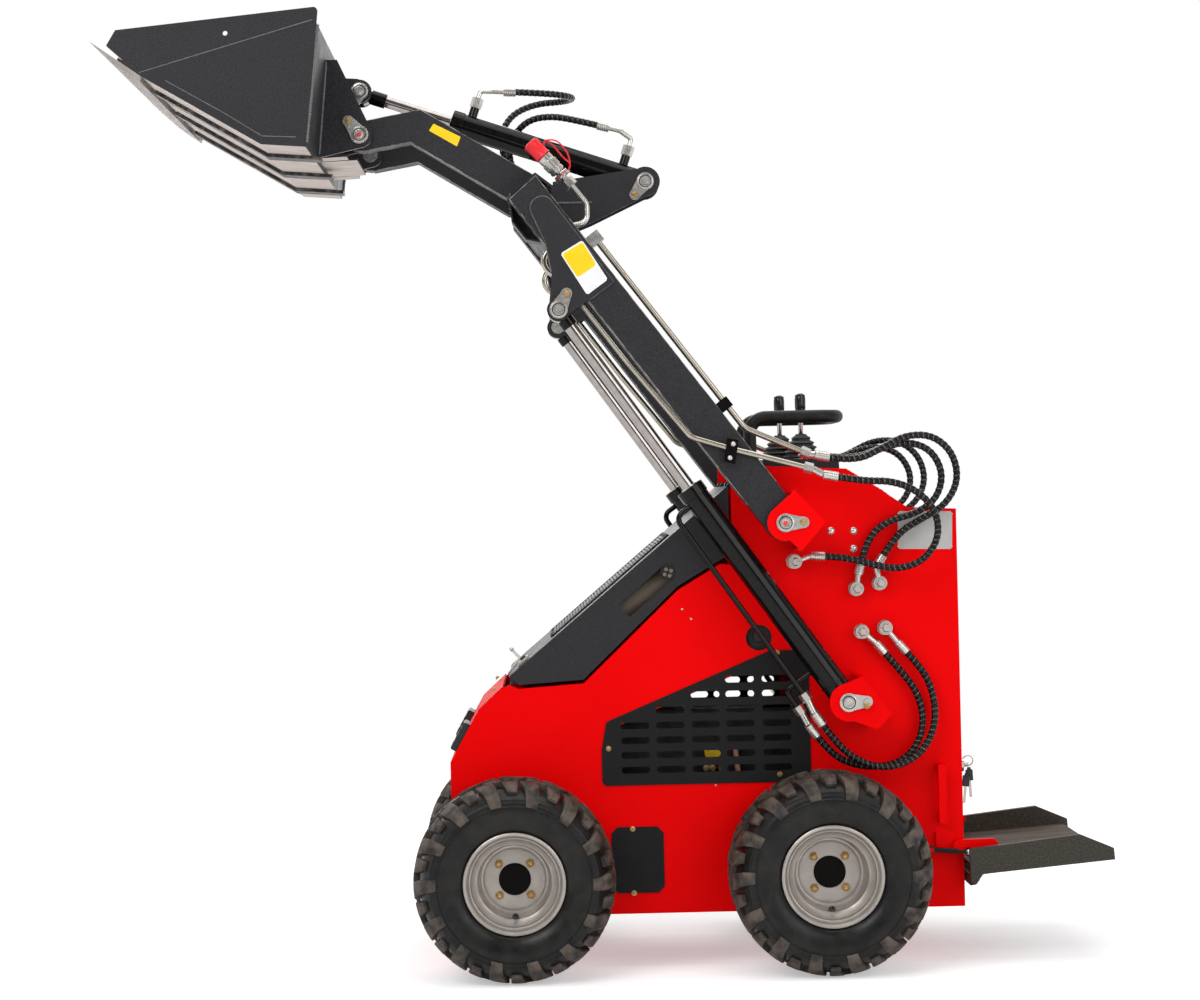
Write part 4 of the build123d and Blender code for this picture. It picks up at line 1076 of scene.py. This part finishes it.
def makeLatch():
    bm = bmesh.new()
    y = latch["y"]
    ball, stem = (at(x, y, z) for x, z in (latch["ball"], latch["stem"]))
    turned(bm, facing(ball, (0, 1, 0)), latch["ballLine"], 20)
    bar(bm, ball, stem, 3.4)
    slope = Matrix.Rotation(math.radians(latch["slope"]), 4, "Y")
    for index, ((x, z), size) in enumerate(latch["plates"]):
        slab(bm, Matrix.Translation(at(x, y, z)) @ slope, size, index, 1)
    wires = [[at(x, y - offset, z) for x, z in latch["bail"]] for offset in both(latch["bailHalf"])]
    for top, bottom in wires + [[wires[0][1], wires[1][1]]]:
        bar(bm, top, bottom, 2)
    finish(bm, "hood_latch", ["zinc", "iron"], "hood_lid", 40)


seal = {"y": 228, "outline": [(359, 675.8), (349, 684.1), (345, 676), (349, 660), (356, 649.5),
                              (361.5, 650.5), (357, 664)]}


def makeHoodSeal():
    # a rubber strip under the lid's lower edge, short of the nose
    bm = bmesh.new()
    prism(bm, seal["outline"], -seal["y"], seal["y"], 0, 0.8)
    finish(bm, "hood_seal", ["boot"], "hood_lid", 50)


# louvres in the hood, on a dark back and in a frame
louvres = {"middle": (121, 878.4), "slope": 39.8, "long": 364, "wide": 318, "pitch": 8.6, "slat": 5.4,
           "margin": 16, "short": 14, "rail": 6}


def makeHoodMesh():
    bm = bmesh.new()
    x, z = louvres["middle"]
    turn = Matrix.Translation(at(x, 0, z)) @ Matrix.Rotation(math.radians(louvres["slope"]), 4, "Y")
    long, wide, rail = louvres["long"], louvres["wide"], louvres["rail"]

    def panel(x, y, z, size, index, edge):
        slab(bm, turn @ Matrix.Translation(Vector((x, y, z)) / 1000), size, index, edge)

    panel(0, 0, 0.8, (long, wide, 1.0), 1, 0.2)
    count = int((long - louvres["margin"]) / louvres["pitch"])
    for i in range(count):
        along = (i - (count - 1) / 2) * louvres["pitch"]
        panel(along, 0, 2, (louvres["slat"], wide - louvres["short"], 1.4), 0, 0.3)
    for way in (-1, 1):
        panel(way * (long - rail) / 2, 0, 2.4, (rail, wide, 2.4), 1, 0.5)
        panel(0, way * (wide - rail) / 2, 2.4, (long, rail, 2.4), 1, 0.5)
    finish(bm, "hood_mesh", ["grey", "iron"], "hood_lid", 40)


# two keys on a ring; a head is X, Z, lean in degrees and shift in Y
keys = {"y": 120, "ring": (-709, 449), "ringRadius": 12, "ringTilt": 3, "wire": 0.0012,
        "heads": [(-712, 415, 3, 0), (-703, 402, -6, 6)],
        "parts": [(0, (17, 4, 26), 1, 1.5), (0.0145, (9, 4, 8), 1, 1.5), (-0.032, (6, 2, 40), 0, 0.4)]}


def makeKeys():
    bm = bmesh.new()
    (ringX, ringZ), radius = keys["ring"], keys["ringRadius"]
    ring = []
    for angle in circle(24) + [2 * math.pi]:
        c, s = math.cos(angle), math.sin(angle)
        ring.append(at(ringX + radius * c, keys["y"] + keys["ringTilt"] * s, ringZ + radius * s))
    tubeAlong(bm, ring, lambda s: keys["wire"], 8, capped=False)
    for x, z, lean, shift in keys["heads"]:
        slant = Matrix.Rotation(math.radians(lean), 4, "Y")
        centre = Matrix.Translation(at(x, keys["y"] + shift, z)) @ slant
        for height, size, index, edge in keys["parts"]:
            slab(bm, centre @ Matrix.Translation((0, 0, height)), size, index, edge)
    finish(bm, "keys", ["zinc", "knob"], "chassis", 40)


# the platform's rubber buffer and the ends of its pins
buffer = {"outline": [(-684, 205), (-711, 203), (-707, 190), (-699, 180), (-686, 178)], "half": 280,
          "pin": (-684, 255), "pinAcross": 276,
          "pinLine": [(0, -9), (4, -8), (7, -5), (8.6, 0), (7, 5), (4, 8), (0, 9)]}


def makePlatformTrim():
    bm = bmesh.new()
    prism(bm, buffer["outline"], -buffer["half"], buffer["half"], 0, 1.5)
    x, z = buffer["pin"]
    for y in both(buffer["pinAcross"]):
        turned(bm, outFrom(x, y, z), buffer["pinLine"], 20, index=1)
    finish(bm, "platform_trim", ["boot", "zinc"], "platform", 40)


# the pieces seen inside the body
shroud = {"corners": [(-345, 150), (190, 150), (190, 588), (-345, 588)], "y": 165, "thick": 4,
          "can": (-217, 757), "canAcross": 176,
          "canLine": [(0, 52), (12, 52), (14, 48), (26, 48), (28, 52), (38, 52), (41, 60), (44, 60), (44, 0),
                      (0, 0)]}
canister = {"start": (112, 178, 812), "end": (-66, 178, 939), "cap": (104, 206, 818),
            "line": [(0, 2), (20, 2), (24, 0), (27, 2), (27, 216), (0, 218)],
            "capLine": [(0, 0), (9, 0), (10, 1), (9, 2), (0, 2)]}
# a round boss in each side window of the hood
boss = {"place": (-11, 910), "y": 239.4, "holes": 4, "start": 0.5, "holePlace": (8.5, 1.5),
        "line": [(0, 1.4), (15.5, 1.4), (16, 2.2), (17.6, 2.2), (18.2, 0), (0, 0)],
        "hole": [(0, 0.6), (4.2, 0.6), (4.6, 0)]}
engineBits = {
    "y": 172, "cap": (-112, 487), "capTilt": (0.1, 1, 0.15),
    "capLine": [(0, 12), (9, 12), (13, 10), (22, 8), (24, 4), (24, 0), (0, 0)],
    "fittings": [(-128, 452), (-106, 452), (-92, 452)],
    "fitting": [(0, 14), (8, 14), (10, 12), (10, 0), (0, 0)],
    "pipe": ((-166, 186, 440), (-160, 186, 500)), "pipeRadius": 6,
}


def makeShroud():
    bm = bmesh.new()
    inner, outer = shroud["y"], shroud["y"] + shroud["thick"]
    prism(bm, shroud["corners"], inner, outer, 0, 1)
    prism(bm, shroud["corners"], -outer, -inner, 0, 1)
    x, z = shroud["can"]
    for side in sides:
        turned(bm, outFrom(x, shroud["canAcross"], z, side), shroud["canLine"], 40)
    finish(bm, "engine_shroud", ["iron"], "chassis", 35)


def makeCanister():
    bm = bmesh.new()
    start, end = at(*canister["start"]), at(*canister["end"])
    turned(bm, facing(start, end - start), canister["line"], 40)
    turned(bm, outFrom(*canister["cap"]), canister["capLine"], 24, index=1)
    x, z = boss["place"]
    for side in sides:
        local = outFrom(x, boss["y"], z, side)
        turned(bm, local, boss["line"], 32, index=1)
        for angle in circle(boss["holes"], boss["start"]):
            turned(bm, facing(around(local, angle, *boss["holePlace"]), (0, side, 0)), boss["hole"], 8)
    finish(bm, "air_canister", ["canister", "knob"], "hood_lid", 35)


def makeEngineBits():
    bm = bmesh.new()
    x, z = engineBits["cap"]
    turned(bm, facing(at(x, engineBits["y"], z), engineBits["capTilt"]), engineBits["capLine"], 24)
    for x, z in engineBits["fittings"]:
        turned(bm, outFrom(x, engineBits["y"], z), engineBits["fitting"], 6, index=1)
    low, high = engineBits["pipe"]
    bar(bm, at(*low), at(*high), engineBits["pipeRadius"], 2)
    finish(bm, "engine_bits", ["yellow", "brass", "copper"], "chassis", 35)


# saddles that hold the pipes to the arms, and the bends at the pipes' tops
saddle = {"outline": [(-172, 1210), (-146, 1216), (-136, 1160), (-162, 1154)],
          "bolts": [(-159, 1200), (-151, 1169)], "y": 385, "thick": 5}
pipeBend = {"arc": ((222, 1629), (36, 34), -62, 62, 16), "y": 292, "radius": 0.0065}


def makeLineTrim():
    bm = bmesh.new()
    outer = saddle["y"] + saddle["thick"]
    for side in sides:
        prism(bm, saddle["outline"], *sorted((side * saddle["y"], side * outer)), 0, 1)
        for x, z in saddle["bolts"]:
            addDome(bm, at(x, side * outer, z), (0, side, 0), 6, 4, 1)
        bend = [at(x, side * pipeBend["y"], z) for x, z in arc(*pipeBend["arc"])]
        tubeAlong(bm, bend, lambda s: pipeBend["radius"], 16, 2)
    finish(bm, "pipe_trim", ["black", "zinc", "tube"], "boom", 35)


# lamps: a ribbed lens in each housing
lens = {"foot": (500, 484), "top": (431, 606), "across": 184, "rise": 0.062, "out": 0.0135,
        "size": (54, 72, 1.6), "rows": (-0.017, 0, 0.017), "columns": (-0.022, 0, 0.022),
        "bump": [(0, 1.6), (4, 1.3), (6.5, 0.4), (7, 0)], "bumpOut": 0.0008}


def makeLampTrim():
    bm = bmesh.new()
    foot, top = (at(x, 0, z) for x, z in (lens["foot"], lens["top"]))
    up = (top - foot).normalized()
    out = Vector((up.z, 0, -up.x))
    across = Vector((0, 1, 0))
    turn = Matrix((up, across, -up.cross(across))).transposed().to_4x4()
    for y in both(lens["across"]):
        middle = foot + up * lens["rise"] + out * lens["out"] + across * y / 1000
        slab(bm, Matrix.Translation(middle) @ turn, lens["size"], 0, 0.4)
        for row in lens["rows"]:
            for column in lens["columns"]:
                spot = middle + up * row + out * lens["bumpOut"] + across * column
                turned(bm, facing(spot, out), lens["bump"], 16)
    finish(bm, "lamp_lenses", ["glass"], "chassis", 35)


for make in (makeBolts, makePinEnds, makeFilms, makeBeads, makeEdges, makeCylinderTrim, makeHoseEnds,
             makeCoupler, makeLevers, makeLatch, makeHoodSeal, makeHoodMesh, makeKeys, makePlatformTrim,
             makeShroud, makeCanister, makeEngineBits, makeLineTrim, makeLampTrim):
    make()
print("details ready")


# looks of the carried-over solids
solidLooks = {
    "red": ["side_plates", "front_panel", "belly_plate", "rear_panel", "body_brackets", "platform_arms"],
    "cover": ["side_covers"],
    "grey": ["top_deck", "main_arms", "front_arms", "cross_member", "hood"],
    "step": ["platform_sides"],
    "mat": ["platform_floor"],
    "bucket": ["bucket_shell", "bucket_ears"],
    "black": ["lift_barrels", "tilt_barrel", "platform_stays", "pipe_clamps"],
    "zinc": ["chassis_pins", "boom_pins", "bucket_pins", "key_switch", "hose_banjos", "boom_fittings",
             "lift_fittings", "tilt_fittings", "quick_couplers"],
    "chrome": ["lift_rods", "tilt_rod"],
    "worn": ["bucket_wear", "wheel_motors"],
    "tube": ["boom_pipes"], "cap": ["coupler_caps"], "plastic": ["headlamps"], "foam": ["handlebar"],
    "knob": ["control_levers"], "iron": ["engine_block"],
}


def dress():
    for key, nodes in solidLooks.items():
        for node in nodes:
            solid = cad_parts[node]
            for holder in solid.material_slots:
                holder.material = finishes[key]
            if not solid.material_slots:
                solid.data.materials.append(finishes[key])


dress()
print("solids dressed")
